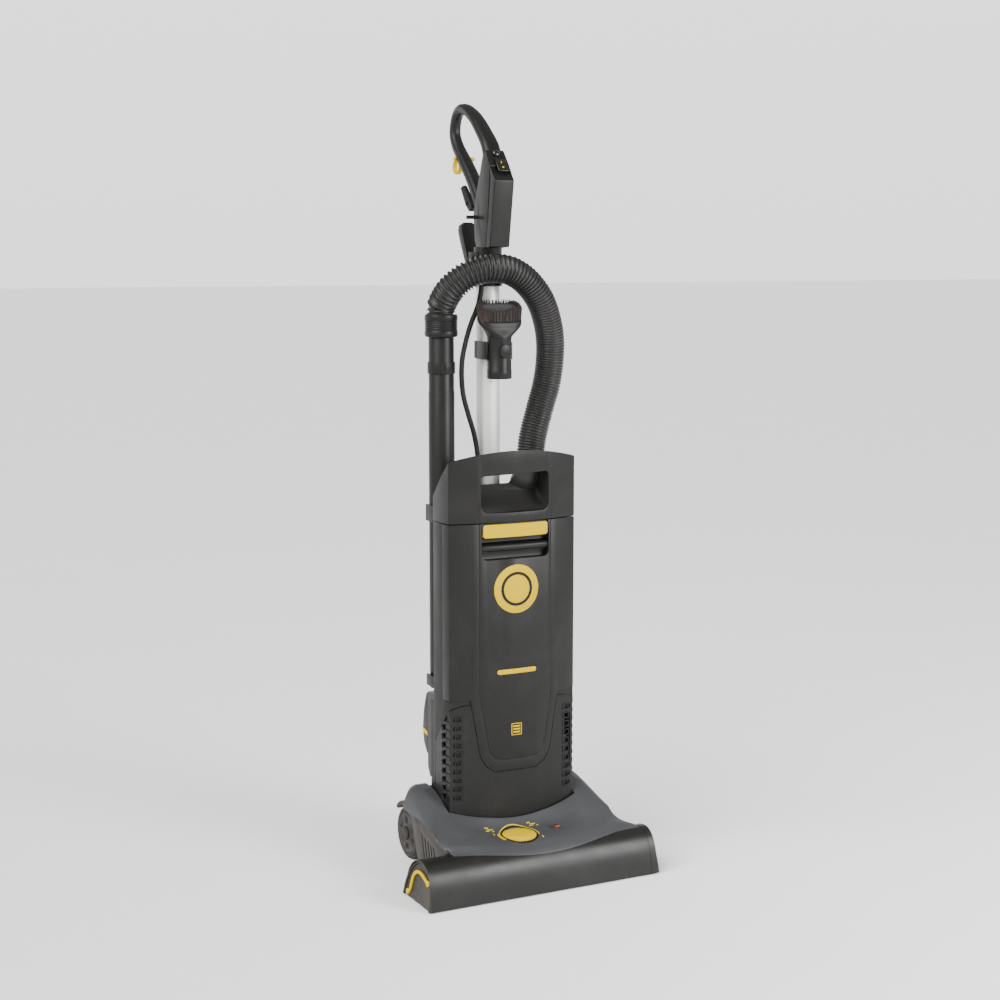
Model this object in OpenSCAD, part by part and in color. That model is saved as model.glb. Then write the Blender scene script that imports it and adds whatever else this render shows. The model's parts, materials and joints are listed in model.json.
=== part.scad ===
/* [Floor head] */
// Width of the floor head across its end caps
head_w = 404; // [400:1:408]
// Height of the brush hood
hood_h = 70; // [68:1:72]
// Width of the slate cover behind the hood
cover_w = 312; // [308:1:314]
// Clearance between the hood's lower edge and the floor
floor_gap = 2; // [2:0.5:4]
// Radius of the rear wheels
wheel_r = 42; // [40:1:43]
// Radius of the front rollers
roller_r = 14; // [12:1:15]

/* [Upright] */
// Half width of the body at its front corners
body_hw = 110; // [108:1:111]
// Depth of the front's bow
bow = 16; // [12:1:18]
// Height of the seam below the top cover
door_top = 567; // [560:1:570]
// Height of the bag door's lower full-width edge
door_low = 288; // [284:1:292]
// Height of the lower end of the door's tongue
tongue_low = 170; // [166:1:176]
// Wall thickness of the mouldings
wall = 3; // [2.5:0.5:3.5]
// Radius of the aluminium pole
pole_r = 18.5; // [18:0.5:19]

/* [Hose and wand] */
// Outer radius of the stretch hose
hose_r = 23; // [22:0.5:24]
// Radius of the wand
wand_r = 19.5; // [18:0.5:20]
// Bore radius of the dusting brush's socket
socket_r = 16; // [15:0.5:17]
// Diameter of the cable from handle to motor
cable_d = 8; // [7:0.5:9]

/* [Hidden] */
$fn = 64;
// depth axis: 0 is half way between the hood's front and the grip's rear
front_y = -168;
crest_y = -130;
hood_rear_y = -70;
hood_front_a = crest_y - front_y;
hood_rear_b = hood_rear_y - crest_y;
end_draft = 0.145;
recess = 3;
cap_x = 188;
roller_y = -124;
roller_z = 31;
core_r = 19;
tuft_r = 29;
belt_x0 = 121;
belt_x1 = 129;
pulley_r = 14;
pivot_y = 32;
pivot_z = 98;
drum_r = 44;
drum_hw = 103;
shoulder_x = 114.5;
shoulder_r = 48;
round_x = 128;
edge_r = 16;
wheel_y = 82;
wheel_x0 = 106;
wheel_x1 = 128;
axle_r = 5;
slack = 0.05;
caster_y = -52;
caster_x = 60;
pedal_x0 = -68;
pedal_x1 = -22;
pedal_y = 104;
pedal_z = 34;
knob_x = -17;
knob_y = -104;
knob_z = 80;
knob_r = 27;
body_front_y = -61;
corner_y = -26;
body_back_y = 8;
body_low = 92;
slope_z = 663;
slope_y = -45;
arch_top = 678;
pole_y = 40;
pole_bottom = 420;
pole_top = 986;
wand_x = -82;
wand_y = 39;
wand_low = 292;
cuff_low = 853;
cuff_top = 885;
port_x = 79;
port_y = 43;
port_top = 640;
tool_x = -4;
tool_y = -8;
charcoal = [0.235, 0.228, 0.22];
slate = [0.31, 0.32, 0.335];
stone = [0.37, 0.35, 0.33];
black = [0.07, 0.07, 0.07];
yellow = [0.99, 0.93, 0.1];
silver = [0.78, 0.78, 0.76];

// route of the hose's centre line, from the port on the body over the hook to the wand's cuff
hose_route = [
    [79, 43, 640], [79, 43, 668], [83, 40, 698], [92, 35, 738], [100, 28, 778],
    [101, 20, 826], [93, 12, 866], [75, 5, 906], [48, 0, 936], [18, -4, 953],
    [-9, -5, 957], [-34, -1, 954], [-56, 7, 944], [-73, 19, 927], [-80, 31, 910],
    [-82, 38, 899], [-82, 39, 892], [-82, 39, 888], [-82, 39, 885]];
// route of the cable, from the handle's collar down to the gland on the body
cable_route = [
    [-26, 40, 970], [-26, 40, 966], [-26, 40, 962], [-26, 34, 953], [-25, 25, 942],
    [-23, 17, 928], [-29, 16, 900], [-41, 18, 870], [-49, 20, 842],
    [-54, 22, 814], [-54, 24, 786], [-50, 26, 758], [-41, 27, 728],
    [-31, 28, 698], [-25, 28, 666], [-24, 28, 636], [-24, 28, 612]];

// ---- helpers -------------------------------------------------------------

// a flat outline given as (y, z), extruded along X from x0 to x1
module across(x0, x1) {
    translate([x0, 0, 0]) rotate([90, 0, 90]) linear_extrude(x1 - x0) children();
}

// a cylinder along X
module xcyl(r, x0, x1, y, z) {
    translate([x0, y, z]) rotate([0, 90, 0]) cylinder(r = r, h = x1 - x0);
}

// a cylinder along Y
module ycyl(r, y0, y1, x, z) {
    translate([x, y0, z]) rotate([-90, 0, 0]) cylinder(r = r, h = y1 - y0);
}

// a cylinder along Z
module zcyl(r, z0, z1, x, y) {
    translate([x, y, z0]) cylinder(r = r, h = z1 - z0);
}

// a block between two corners
module block(a, b) {
    translate(a) cube(b - a);
}

// a shape and its mirror image across the machine's middle
module both_sides() {
    children();
    mirror([1, 0, 0]) children();
}

// a tube swept along a route, with one ring at each point
function unit(v) = v / norm(v);
function heading(p, i) = unit(p[min(i + 1, len(p) - 1)] - p[max(i - 1, 0)]);
function beside(p, i, w) = let (t = heading(p, i)) p[i] + w * [-t[1], t[0]];
function ring(c, t, r, n, up) =
    let (a = unit(cross(t, up)), b = cross(a, t))
    [for (k = [0 : n - 1]) c + r * (a * cos(360 * k / n) + b * sin(360 * k / n))];
module sweep(p, r, n, up) {
    last = len(p) - 1;
    points = [for (i = [0 : last]) each ring(p[i], heading(p, i), r, n, up)];
    sides = [for (i = [0 : last - 1], k = [0 : n - 1])
        [i * n + k, i * n + (k + 1) % n, (i + 1) * n + (k + 1) % n, (i + 1) * n + k]];
    polyhedron(points, concat(sides,
        [[for (k = [n - 1 : -1 : 0]) k]],
        [[for (k = [0 : n - 1]) last * n + k]]), convexity = 6);
}

// n points for each step of a route, on a smooth curve
function curve_at(a, b, c, d, t) =
    0.5 * (2 * b + (c - a) * t + (2 * a - 5 * b + 4 * c - d) * t * t
    + (3 * b - a - 3 * c + d) * t * t * t);
function smooth(p, n) = concat(
    [for (i = [0 : len(p) - 2], k = [0 : n - 1])
        curve_at(p[max(i - 1, 0)], p[i], p[i + 1], p[min(i + 2, len(p) - 1)], k / n)],
    [p[len(p) - 1]]);

// ---- shapes shared by several parts ---------------------------------------

// side outline of the brush hood, shrunk by t
function hood_outline(t) = concat(
    [for (a = [0 : 9 : 90])
        [crest_y - (hood_front_a - t) * pow(cos(a), 0.91),
         floor_gap + (hood_h - floor_gap - t) * pow(sin(a), 0.91)]],
    [for (a = [81 : -9 : 0])
        [crest_y + (hood_rear_b - t) * cos(a), floor_gap + (hood_h - floor_gap - t) * sin(a)]]);
function hood_top(y) = floor_gap + (hood_h - floor_gap) * (y < crest_y
    ? pow(max(0, 1 - pow((crest_y - y) / hood_front_a, 2.2)), 1 / 2.2)
    : sqrt(max(0, 1 - pow((y - crest_y) / hood_rear_b, 2))));

// heights of the cover: along its middle, beside the body and along its outer edge
function mid_z(y) = lookup(y, [[-156, 56], [-146, 66], [-134, 74], [-118, 77.5], [-98, 78.5],
    [-78, 79.5], [-70, 85], [-61, 97], [-45, 104]]);
function flank_z(y) = lookup(y, [[-134, 76], [-102, 86], [-73, 104], [-42, 124],
    [-18, 138], [8, 145], [32, 146]]);
function edge_z(y) = 79 + 0.21 * (y + 138);
function cover_z(x, y) =
    let (ax = abs(x), u = max(0, (ax - 50) / 63), v = min(1, max(0, (ax - round_x) / 28)))
    max(hood_top(y) + 1.6, ax < 113
        ? mid_z(y) + (flank_z(y) - mid_z(y)) * pow(u, 1.3)
        : edge_z(y) + (flank_z(y) - edge_z(y)) * sqrt(1 - v * v));
function seam_y(x) = -153.5 + 21 * pow((x - 12) / 150, 2);
function cover_back(x) = abs(x) > 114 ? pivot_y : abs(x) < body_hw
    ? body_front_y + bow * pow(x / body_hw, 2) - 3 : body_front_y + bow - 3;

// plan of the body, shrunk by t
function body_plan(t) =
    let (w = body_hw - t, n = 6)
    concat([for (i = [-n : n]) [w * i / n, body_front_y + t + bow * pow(i / n, 2)]],
        [[w + 2.5, corner_y], [w + 2, body_back_y - t],
         [-w - 2, body_back_y - t], [-w - 2.5, corner_y]]);

// outline of the door's tongue, widened by t, given as (x, z)
function tongue(t) = [[-77 - t, door_low + 2], [-61 - t, 197 - t], [-52 - t, 181 - t],
    [-36, tongue_low - t], [36, tongue_low - t], [52 + t, 181 - t], [61 + t, 197 - t],
    [77 + t, door_low + 2]];

// ---- floor head --------------------------------------------------------------

module base_plate() {
    low = floor_gap + 3;
    color(stone) difference() {
        union() {
            block([-cap_x + 4, front_y + 8, low], [cap_x - 4, -74, low + 4]);
            block([-132, -75, low], [132, -8, low + 4]);
            block([-102, -8, low], [102, 96, low + 4]);
            both_sides() block([96, wheel_y - 14, low], [102, wheel_y + 14, wheel_r + 12]);
            both_sides() block([76, caster_y - 14, low + 3], [82, caster_y + 14, 40]);
            block([pedal_x0 - 5, 90, low], [pedal_x0 - 1, pedal_y + 6, pedal_z + 5]);
            block([pedal_x1 + 1, 90, low], [pedal_x1 + 5, pedal_y + 6, pedal_z + 5]);
            xcyl(3, pedal_x0 - 3, pedal_x1 + 3, pedal_y, pedal_z);
        }
        block([-178, roller_y - tuft_r - 3, 0], [178, roller_y + tuft_r + 3, 20]);
        both_sides() block([caster_x - 15, caster_y - 18, 0],
            [caster_x + 15, caster_y + 18, low + 6]);
        xcyl(axle_r + slack, -110, 110, wheel_y, wheel_r);
    }
}

module front_hood() {
    color(charcoal) difference() {
        across(-cap_x, cap_x) polygon(hood_outline(0));
        across(-cap_x - 1, cap_x + 1) polygon(hood_outline(wall));
        block([-cap_x - 1, front_y - 1, -1], [cap_x + 1, 0, floor_gap + 0.01]);
        block([-40, -100, 10], [40, -60, 48]);
        block([-133, -80, 0], [133, -60, 9.6]);
        block([belt_x0 - 3, -112, 20], [belt_x1 + 3, -60, 64]);
    }
}

// places a shape on the drafted face of the left end cap
module on_end_face() {
    translate([-head_w / 2, 0, floor_gap]) rotate([0, atan(end_draft), 0])
        translate([0, 0, -floor_gap]) children();
}

// left end cap of the hood, drafted inwards towards its top, with a shallow recess
module end_cap() {
    color(stone) difference() {
        across(-head_w / 2, -cap_x) polygon(hood_outline(0));
        on_end_face() block([-40, -300, -20], [0, 0, 120]);
        on_end_face() across(-1, recess) polygon(hood_outline(4));
    }
}
module end_cap_left() {
    end_cap();
}
module end_cap_right() {
    mirror([1, 0, 0]) end_cap();
}

module head_cover() {
    xs = concat([for (i = [0 : 5]) -cover_w / 2 + 41.5 * i / 5], [-113, -110],
        [for (i = [1 : 10]) -110 + 22 * i], [113], [for (i = [0 : 5]) cover_w / 2 - 41.5 + 41.5 * i / 5]);
    nx = len(xs) - 1;
    ny = 12;
    ys = [for (x = xs) [for (j = [0 : ny]) seam_y(x) + (cover_back(x) - seam_y(x)) * j / ny]];
    top = [for (i = [0 : nx], j = [0 : ny]) [xs[i], ys[i][j], cover_z(xs[i], ys[i][j])]];
    low = [for (p = top) [p[0], p[1], max(p[2] - wall, hood_top(p[1]) + 0.7)]];
    m = ny + 1;
    n = (nx + 1) * m;
    quads = [for (i = [0 : nx - 1], j = [0 : ny - 1]) [i * m + j, (i + 1) * m + j,
        (i + 1) * m + j + 1, i * m + j + 1]];
    rim = concat([for (i = [0 : nx]) i * m], [for (j = [1 : ny]) nx * m + j],
        [for (i = [nx - 1 : -1 : 0]) i * m + ny], [for (j = [ny - 1 : -1 : 1]) j]);
    k = len(rim);
    up = [for (q = quads) each [[q[2], q[1], q[0]], [q[3], q[2], q[0]]]];
    down = [for (q = quads) each [[q[0] + n, q[1] + n, q[2] + n], [q[0] + n, q[2] + n, q[3] + n]]];
    side = [for (i = [0 : k - 1]) each [[rim[i], rim[(i + 1) % k], rim[(i + 1) % k] + n],
        [rim[i], rim[(i + 1) % k] + n, rim[i] + n]]];
    color(slate) polyhedron(concat(top, low), concat(up, down, side), convexity = 8);
}

// rear shoulder of the head: rounded shell, its bracket and the hollow pivot stub, right side
module shoulder() {
    outer = concat([[0, shoulder_x], [shoulder_r, shoulder_x], [shoulder_r, round_x]],
        [for (a = [15 : 15 : 90]) [edge_r + (shoulder_r - edge_r) * cos(a),
            round_x + (cover_w / 2 - round_x) * sin(a)]],
        [[0, cover_w / 2]]);
    color(slate) difference() {
        union() {
            intersection() {
                translate([0, pivot_y, pivot_z]) rotate([0, 90, 0]) rotate([0, 0, 90])
                    rotate_extrude() polygon(outer);
                block([100, pivot_y + 0.3, 96], [170, 120, 160]);
            }
            across(shoulder_x, shoulder_x + wall + 1)
                polygon([[-30, 9.2], [26, 9.2], [36, 60], [60, 92], [60, 110], [-2, 110], [-24, 60]]);
            xcyl(24, shoulder_x, shoulder_x + wall + 1, pivot_y, pivot_z);
            xcyl(16, drum_hw - 5, shoulder_x + 1, pivot_y, pivot_z);
            block([shoulder_x + 1, 70, 87], [150, 108, 92]);
            block([shoulder_x, 66, 87], [shoulder_x + 20, 78, 97]);
        }
        xcyl(9, 90, 122, pivot_y, pivot_z);
        difference() {
            xcyl(shoulder_r - wall, shoulder_x + wall + 1, round_x + 4, pivot_y, pivot_z);
            block([110, 60, 80], [180, 120, 98]);
        }
        xcyl(wheel_r + 2, wheel_x0 - 4, wheel_x1 + 3, wheel_y, wheel_r);
    }
}
module shoulder_right() {
    shoulder();
}
module shoulder_left() {
    mirror([1, 0, 0]) shoulder();
}

// left side panel of the head with its slots, leaning inwards towards the floor
module side_panel() {
    color(stone) difference() {
        translate([-151, 0, 100]) rotate([0, -12, 0]) difference() {
            across(-wall, 0)
                polygon([[-66, -82], [-14, -82], [-6, -62], [2, -40], [14, -18], [28, 2], [20, 4],
                    [0, 1], [-60, -12], [-100, -20], [-126, -25], [-98, -38], [-76, -58]]);
            for (i = [0 : 4])
                translate([0, -56 + 9 * i, 0]) block([-10, 0, -70], [10, 3.5, -30 + 3 * i]);
        }
        block([-190, -200, -20], [-100, 100, 9.5]);
    }
}
module side_panel_left() {
    side_panel();
}
module side_panel_right() {
    mirror([1, 0, 0]) side_panel();
}

module indicator_window() {
    color("maroon") block([42, -105, 80.6], [60, -94, 82]);
}

module brush_bearings() {
    color("dimgray") both_sides() difference() {
        block([181, roller_y - 10, 12], [187.5, roller_y + 10, roller_z + 10]);
        xcyl(axle_r + slack, 178, 190, roller_y, roller_z);
    }
}

// the belt runs round both pulleys
module drive_belt() {
    run = norm([pivot_y - roller_y, pivot_z - roller_z]);
    lean = atan2(pivot_z - roller_z, pivot_y - roller_y);
    color(black) translate([0, roller_y, roller_z]) rotate([lean, 0, 0]) difference() {
        union() {
            block([belt_x0, 0, -pulley_r - 2.5], [belt_x1, run, pulley_r + 2.5]);
            xcyl(pulley_r + 2.5, belt_x0, belt_x1, 0, 0);
            xcyl(pulley_r + 2.5, belt_x0, belt_x1, run, 0);
        }
        block([0, 0, -pulley_r - 0.3], [200, run, pulley_r + 0.3]);
        xcyl(pulley_r + 0.3, 0, 200, 0, 0);
        xcyl(pulley_r + 0.3, 0, 200, run, 0);
    }
}

module rear_axle() {
    color("gray") xcyl(axle_r, -wheel_x1 - 3, wheel_x1 + 3, wheel_y, wheel_r);
}

module intake_duct() {
    color("dimgray") difference() {
        block([-38, -88, 14], [38, -24, 44]);
        block([-35, -89, 17], [35, -23, 41]);
        block([-60, -70, 0], [-40, -30, 60]);
    }
}

// arched lever in the recess of the left end cap, which frees the cap and the brush roller
module brush_lever() {
    line = smooth([[-86, 10], [-92, 15], [-95, 28], [-98, 38], [-105, 46], [-115, 49.5],
        [-126, 49], [-137, 46], [-145, 43.5], [-150, 42]], 2);
    last = len(line) - 1;
    half = 2.6;
    color(yellow) on_end_face() union() {
        across(-0.3, recess - 0.3) polygon(concat([for (i = [0 : last]) beside(line, i, half)],
            [for (i = [last : -1 : 0]) beside(line, i, -half)]));
        xcyl(4.8, -0.3, recess - 0.3, -150, 42);
        xcyl(4.5, -0.3, recess - 0.3, -85, 10);
    }
}

module roller_core() {
    color("dimgray") union() {
        xcyl(core_r, -180, belt_x0 - 4, roller_y, roller_z);
        xcyl(pulley_r, belt_x0 - 4, belt_x1 + 4, roller_y, roller_z);
        xcyl(core_r, belt_x1 + 4, 180, roller_y, roller_z);
        xcyl(axle_r, -187, 187, roller_y, roller_z);
    }
}

module roller_bristles() {
    pitch = 12;
    color(black) for (k = [0 : 1], i = [0 : 28]) {
        x = -170 + pitch * i;
        if (x < belt_x0 - 10 || x > belt_x1 + 10)
            translate([x, roller_y, roller_z]) rotate([180 * k + 9 * i, 0, 0])
                translate([0, 0, core_r]) cylinder(r = 2.6, h = tuft_r - core_r);
    }
}

module wheel() {
    color("dimgray") difference() {
        union() {
            xcyl(wheel_r, wheel_x0, wheel_x1 - 2, wheel_y, wheel_r);
            xcyl(wheel_r - 3, wheel_x0, wheel_x1, wheel_y, wheel_r);
        }
        difference() {
            xcyl(wheel_r - 9, wheel_x1 - 5, wheel_x1 + 1, wheel_y, wheel_r);
            xcyl(11, wheel_x1 - 6, wheel_x1 + 2, wheel_y, wheel_r);
            for (a = [0 : 72 : 288])
                translate([wheel_x1 - 6, wheel_y, wheel_r]) rotate([a, 0, 0])
                    block([0, 8, -5], [8, wheel_r - 8, 5]);
        }
        xcyl(axle_r + slack, wheel_x0 - 1, wheel_x1 + 1, wheel_y, wheel_r);
    }
}
module wheel_right() {
    wheel();
}
module wheel_left() {
    mirror([1, 0, 0]) wheel();
}

// carriage of the front rollers, bridged over the intake duct
module roller_carriage() {
    color("dimgray") union() {
        both_sides() {
            block([40, caster_y - 12, 32], [74, caster_y + 12, 37]);
            block([40, caster_y - 12, 32], [45, caster_y + 12, 62]);
            block([caster_x - 14, caster_y - 7, roller_r - 6], [caster_x - 12, caster_y + 7, 33]);
            block([caster_x + 12, caster_y - 7, roller_r - 6], [caster_x + 14, caster_y + 7, 33]);
            xcyl(3, caster_x - 13, caster_x + 13, caster_y, roller_r);
        }
        block([-45, caster_y - 12, 58], [45, caster_y + 12, 62]);
    }
}

module caster() {
    color(black) difference() {
        xcyl(roller_r, caster_x - 11, caster_x + 11, caster_y, roller_r);
        xcyl(3 + slack, caster_x - 12, caster_x + 12, caster_y, roller_r);
    }
}
module caster_right() {
    caster();
}
module caster_left() {
    mirror([1, 0, 0]) caster();
}

// knob with a knurled rim on the cover
module height_knob() {
    color(yellow) union() {
        zcyl(knob_r, knob_z + 1.5, knob_z + 5, knob_x, knob_y);
        zcyl(knob_r - 2, knob_z + 5, knob_z + 6.5, knob_x, knob_y);
        for (a = [0 : 12 : 348])
            translate([knob_x, knob_y, 0]) rotate(a)
                zcyl(1.6, knob_z + 1.5, knob_z + 5, knob_r, 0);
    }
}

// pedal at the rear that frees the upright
module foot_pedal() {
    color(black) difference() {
        union() {
            across(pedal_x0, pedal_x1) polygon([[pedal_y - 5, pedal_z], [pedal_y, pedal_z - 5],
                [pedal_y + 30, pedal_z + 4], [pedal_y + 38, pedal_z + 12],
                [pedal_y + 36, pedal_z + 15], [pedal_y + 26, pedal_z + 9], [pedal_y + 4, pedal_z + 5]]);
            xcyl(6, pedal_x0, pedal_x1, pedal_y, pedal_z);
        }
        xcyl(3 + slack, pedal_x0 - 1, pedal_x1 + 1, pedal_y, pedal_z);
    }
}

// ---- upright --------------------------------------------------------------

// drum on the tilt axis that closes the lower end of the upright
module neck_drum() {
    color(charcoal) difference() {
        xcyl(drum_r, -drum_hw, drum_hw, pivot_y, pivot_z);
        xcyl(drum_r - wall, -drum_hw + 4, drum_hw - 4, pivot_y, pivot_z);
        xcyl(16 + slack, -drum_hw - 1, drum_hw + 1, pivot_y, pivot_z);
        block([-100, pivot_y - 34, pivot_z + 30], [100, pivot_y + 20, 160]);
    }
}

// the wall left behind the cooling slots
module slot_floor() {
    translate([0, 0, body_low]) linear_extrude(door_low - body_low) polygon(body_plan(2));
}

// lower front cover round the motor, with cooling slots in its corners
module motor_cover() {
    color(charcoal) difference() {
        intersection() {
            translate([0, 0, body_low]) linear_extrude(door_low - body_low) polygon(body_plan(0));
            across(-130, 130) polygon([[-70, body_low], [-14, body_low], [-14, 112], [-8, 128],
                [3, 138], [4, 216], [0, 219], [-50, 279], [-70, door_low - 0.5]]);
        }
        translate([0, 0, body_low - 1]) linear_extrude(door_low) polygon(body_plan(wall));
        block([-body_hw + 3, -14, body_low - 1], [body_hw - 3, 20, door_low]);
        translate([0, body_front_y + 30, 0]) rotate([90, 0, 0]) linear_extrude(40)
            polygon(tongue(0.8));
        difference() {
            both_sides() for (i = [0 : 9])
                block([body_hw - 18, -80, 130 + 14 * i], [body_hw - 6, -30, 136 + 14 * i]);
            slot_floor();
        }
        difference() {
            both_sides() for (i = [0 : 9])
                translate([0, -34, 130 + 14 * i]) rotate([-24, 0, 0])
                    block([body_hw - 6, -8, 0], [body_hw + 10, 11, 8]);
            slot_floor();
        }
    }
}

// sides, back and floor of the bag chamber, and the rear of the motor chamber
module main_housing() {
    color(charcoal) difference() {
        union() {
            intersection() {
                translate([0, 0, body_low]) linear_extrude(door_top - body_low - 0.5)
                    polygon(body_plan(0));
                across(-130, 130) polygon([[-44, 272], [-44, door_low - 0.5], [corner_y + 0.5, door_low],
                    [corner_y + 0.5, door_top], [20, door_top], [20, 146], [4.5, 144], [4.5, 217],
                    [0.5, 219.5]]);
            }
            across(-103, 103) polygon([[4.5, 283], [4.5, 145], [44, 145], [52, 160], [52, 283]]);
        }
        translate([0, 0, door_low + 4]) linear_extrude(door_top)
            polygon([[-body_hw + 1, -60], [body_hw - 1, -60], [body_hw - 1, 5], [-body_hw + 1, 5]]);
        difference() {
            block([-100, -60, 100], [100, 49, 280]);
            block([-110, 30, 279], [110, 60, 290]);
        }
    }
}

// mount for the pole behind the body
module rear_spine() {
    color(charcoal) difference() {
        union() {
            block([-30, body_back_y + 0.3, 284], [30, pole_y, 600]);
            zcyl(26, 284, 600, 0, pole_y);
            block([-32, 14, 596], [-14, 34, 604]);
        }
        zcyl(pole_r + slack, pole_bottom, 610, 0, pole_y);
    }
}

// top cover with the carry opening; its top falls away to the rear
module top_cover() {
    color(charcoal) difference() {
        intersection() {
            translate([0, 0, 540]) linear_extrude(160) polygon(body_plan(0));
            across(-130, 130) polygon([[-70, door_top + 0.5], [corner_y - 4, door_top + 0.5],
                [corner_y + 0.5, door_top + 0.5], [20, door_top + 0.5], [20, 592],
                [slope_y, slope_z], [-63, arch_top + 5]]);
            translate([0, 60, 0]) rotate([90, 0, 0]) linear_extrude(150)
                polygon(concat([[120, 500], [120, 655]],
                    [for (i = [5 : -1 : -5]) [21.6 * i, arch_top - 14 * pow(i / 5, 2)]],
                    [[-120, 655], [-120, 500]]));
        }
        block([-body_hw + 4, -38, door_top - 1], [-64, 4, 604]);
        block([64, -38, door_top - 1], [body_hw - 4, 4, 604]);
        across(-60, 58) polygon([[-80, 584], [-80, 643], [-40, 641], [30, 641], [30, 622.5],
            [-8, 622.5], [-15, 612], [-24, 600], [-36, 590], [-50, 585], [-66, 584]]);
        block([-64, -50, door_top - 1], [64, 4, 572]);
    }
}

module dust_bag() {
    color("beige") hull() {
        block([-84, -36, 304], [84, -8, 520]);
        block([-60, -37, 330], [60, -4, 500]);
    }
}

module bag_collar() {
    color("gray") difference() {
        block([-60, -34, 526], [60, -4, 530]);
        zcyl(13, 520, 540, 0, -19);
    }
}

module suction_motor() {
    color("gray") difference() {
        union() {
            zcyl(44, 150, 208, 0, -4);
            zcyl(32, 208, 262, 0, -4);
        }
        zcyl(38, 156, 184, 0, -4);
        zcyl(5 + slack, 140, 270, 0, -4);
        zcyl(14, 140, 157, 0, -4);
    }
}

module suction_fan() {
    color("silver") union() {
        zcyl(35, 160, 163, 0, -4);
        zcyl(35, 176, 179, 0, -4);
        zcyl(5, 152, 268, 0, -4);
        for (a = [0 : 45 : 315])
            translate([0, -4, 163]) rotate(a) block([4, -1, 0], [33, 1, 13]);
    }
}

module brush_motor() {
    color("gray") difference() {
        xcyl(33, -80, 30, pivot_y, pivot_z);
        xcyl(6 + slack, -90, 40, pivot_y, pivot_z);
    }
}

module drive_shaft() {
    color("silver") union() {
        xcyl(6, -76, belt_x1 + 2, pivot_y, pivot_z);
        xcyl(pulley_r, belt_x0 - 0.5, belt_x1 + 1, pivot_y, pivot_z);
    }
}

module exhaust_filter() {
    color("white") block([-94, 53, 190], [-54, 64, 268]);
}

module exhaust_cover() {
    color(charcoal) difference() {
        across(-102, -46) polygon([[52.4, 180], [58, 180], [70, 196], [74, 219], [70, 250],
            [60, 278], [52.4, 282]]);
        block([-98, 50, 186], [-50, 66, 274]);
        for (i = [0 : 4])
            block([-92, 60, 200 + 14 * i], [-56, 80, 206 + 14 * i]);
    }
}

// two half-round clips behind the body, open to the rear
module wand_clips() {
    color(black) for (z = [[296, 314], [562, 588]]) difference() {
        union() {
            block([wand_x - 25, body_back_y + 0.3, z[0]], [wand_x + 25, 22, z[1]]);
            block([wand_x - 25, 20, z[0]], [wand_x - 20.5, wand_y + 8, z[1]]);
            block([wand_x + 20.5, 20, z[0]], [wand_x + 25, wand_y + 8, z[1]]);
        }
        zcyl(21.8, 280, 600, wand_x, wand_y);
    }
}

module hose_port() {
    color(black) difference() {
        union() {
            block([48, body_back_y + 0.3, 284], [108, port_y, 560]);
            translate([port_x, port_y, 0]) rotate_extrude()
                polygon([[0, 284], [30, 284], [30, 560], [34, 580], [34, 618], [29, 630],
                    [29, port_top], [0, port_top]]);
        }
        zcyl(19, 300, port_top - 12, port_x, port_y);
        zcyl(24.5, port_top - 12.1, port_top + 1, port_x, port_y);
        block([70, 0, 284], [100, 6, 560]);
    }
}

module hose() {
    color(black) sweep(smooth(hose_route, 3), hose_r, 12, [0.2, 1, 0.1]);
}

module hose_cuff() {
    color(black) difference() {
        zcyl(26, cuff_low, cuff_top, wand_x, wand_y);
        zcyl(wand_r - 2.5, cuff_low - 1, cuff_top - 4, wand_x, wand_y);
    }
}

module wand_upper() {
    color(black) difference() {
        union() {
            zcyl(20, 812, cuff_low, wand_x, wand_y);
            zcyl(21.8, 794, 812, wand_x, wand_y);
        }
        zcyl(16.5, 793, cuff_low + 1, wand_x, wand_y);
        ycyl(2.5, 0, 30, wand_x, 803);
    }
}

module wand_lower() {
    color(black) difference() {
        union() {
            zcyl(20, 766, 794, wand_x, wand_y);
            zcyl(20.5, wand_low, 766, wand_x, wand_y);
        }
        zcyl(16.5, wand_low - 1, 795, wand_x, wand_y);
    }
}

// saddle on the pole that carries the hose
module hose_hook() {
    color(black) difference() {
        union() {
            zcyl(pole_r + 4, 918, 936, 0, pole_y);
            block([-13, -22, 924], [13, 30, 929]);
            block([-4, -20, 918], [4, 30, 925]);
        }
        zcyl(pole_r + slack, 900, 950, 0, pole_y);
    }
}

module pole() {
    color(silver) difference() {
        zcyl(pole_r, pole_bottom, pole_top, 0, pole_y);
        zcyl(pole_r - 1.5, pole_bottom - 1, pole_top + 1, 0, pole_y);
    }
}

// ---- handle --------------------------------------------------------------------

module handle_box() {
    color(charcoal) difference() {
        union() {
            intersection() {
                across(-18, 18) polygon([[-1, 1091], [12, 990], [44, 984], [52, 1000], [56, 1040],
                    [48, 1064], [34, 1100], [26, 1130], [17, 1138], [-1, 1114]]);
                translate([0, 100, 0]) rotate([90, 0, 0]) linear_extrude(200)
                    polygon([[-17, 980], [17, 980], [18, 1095], [15.5, 1140], [-15.5, 1140],
                        [-18, 1095]]);
            }
            zcyl(pole_r + 3.5, 970, 990, 0, pole_y);
            block([-31, 34, 970], [-21, 46, 982]);
            xcyl(2.8, -36, -16, 42, 1036);
        }
        zcyl(pole_r + slack, 960, pole_top + 1, 0, pole_y);
        across(-15, 15) polygon([[4, 1084], [16, 996], [18, 1000], [18, 1080], [14, 1090]]);
        at_switch() block([-9.6, -12.6, -4], [9.6, 12.6, 12]);
    }
}

module handle_front() {
    color(charcoal) difference() {
        across(-17, 17) polygon([[-18, 1091], [-1.5, 990], [11.5, 989], [-1.5, 1090.5],
            [-1.5, 1113], [-14, 1097]]);
        across(-12, 12) polygon([[-12, 1080], [2, 998], [12, 994], [2, 1080]]);
        at_switch() block([-9.6, -12.6, -4], [9.6, 12.6, 12]);
    }
}

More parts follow.
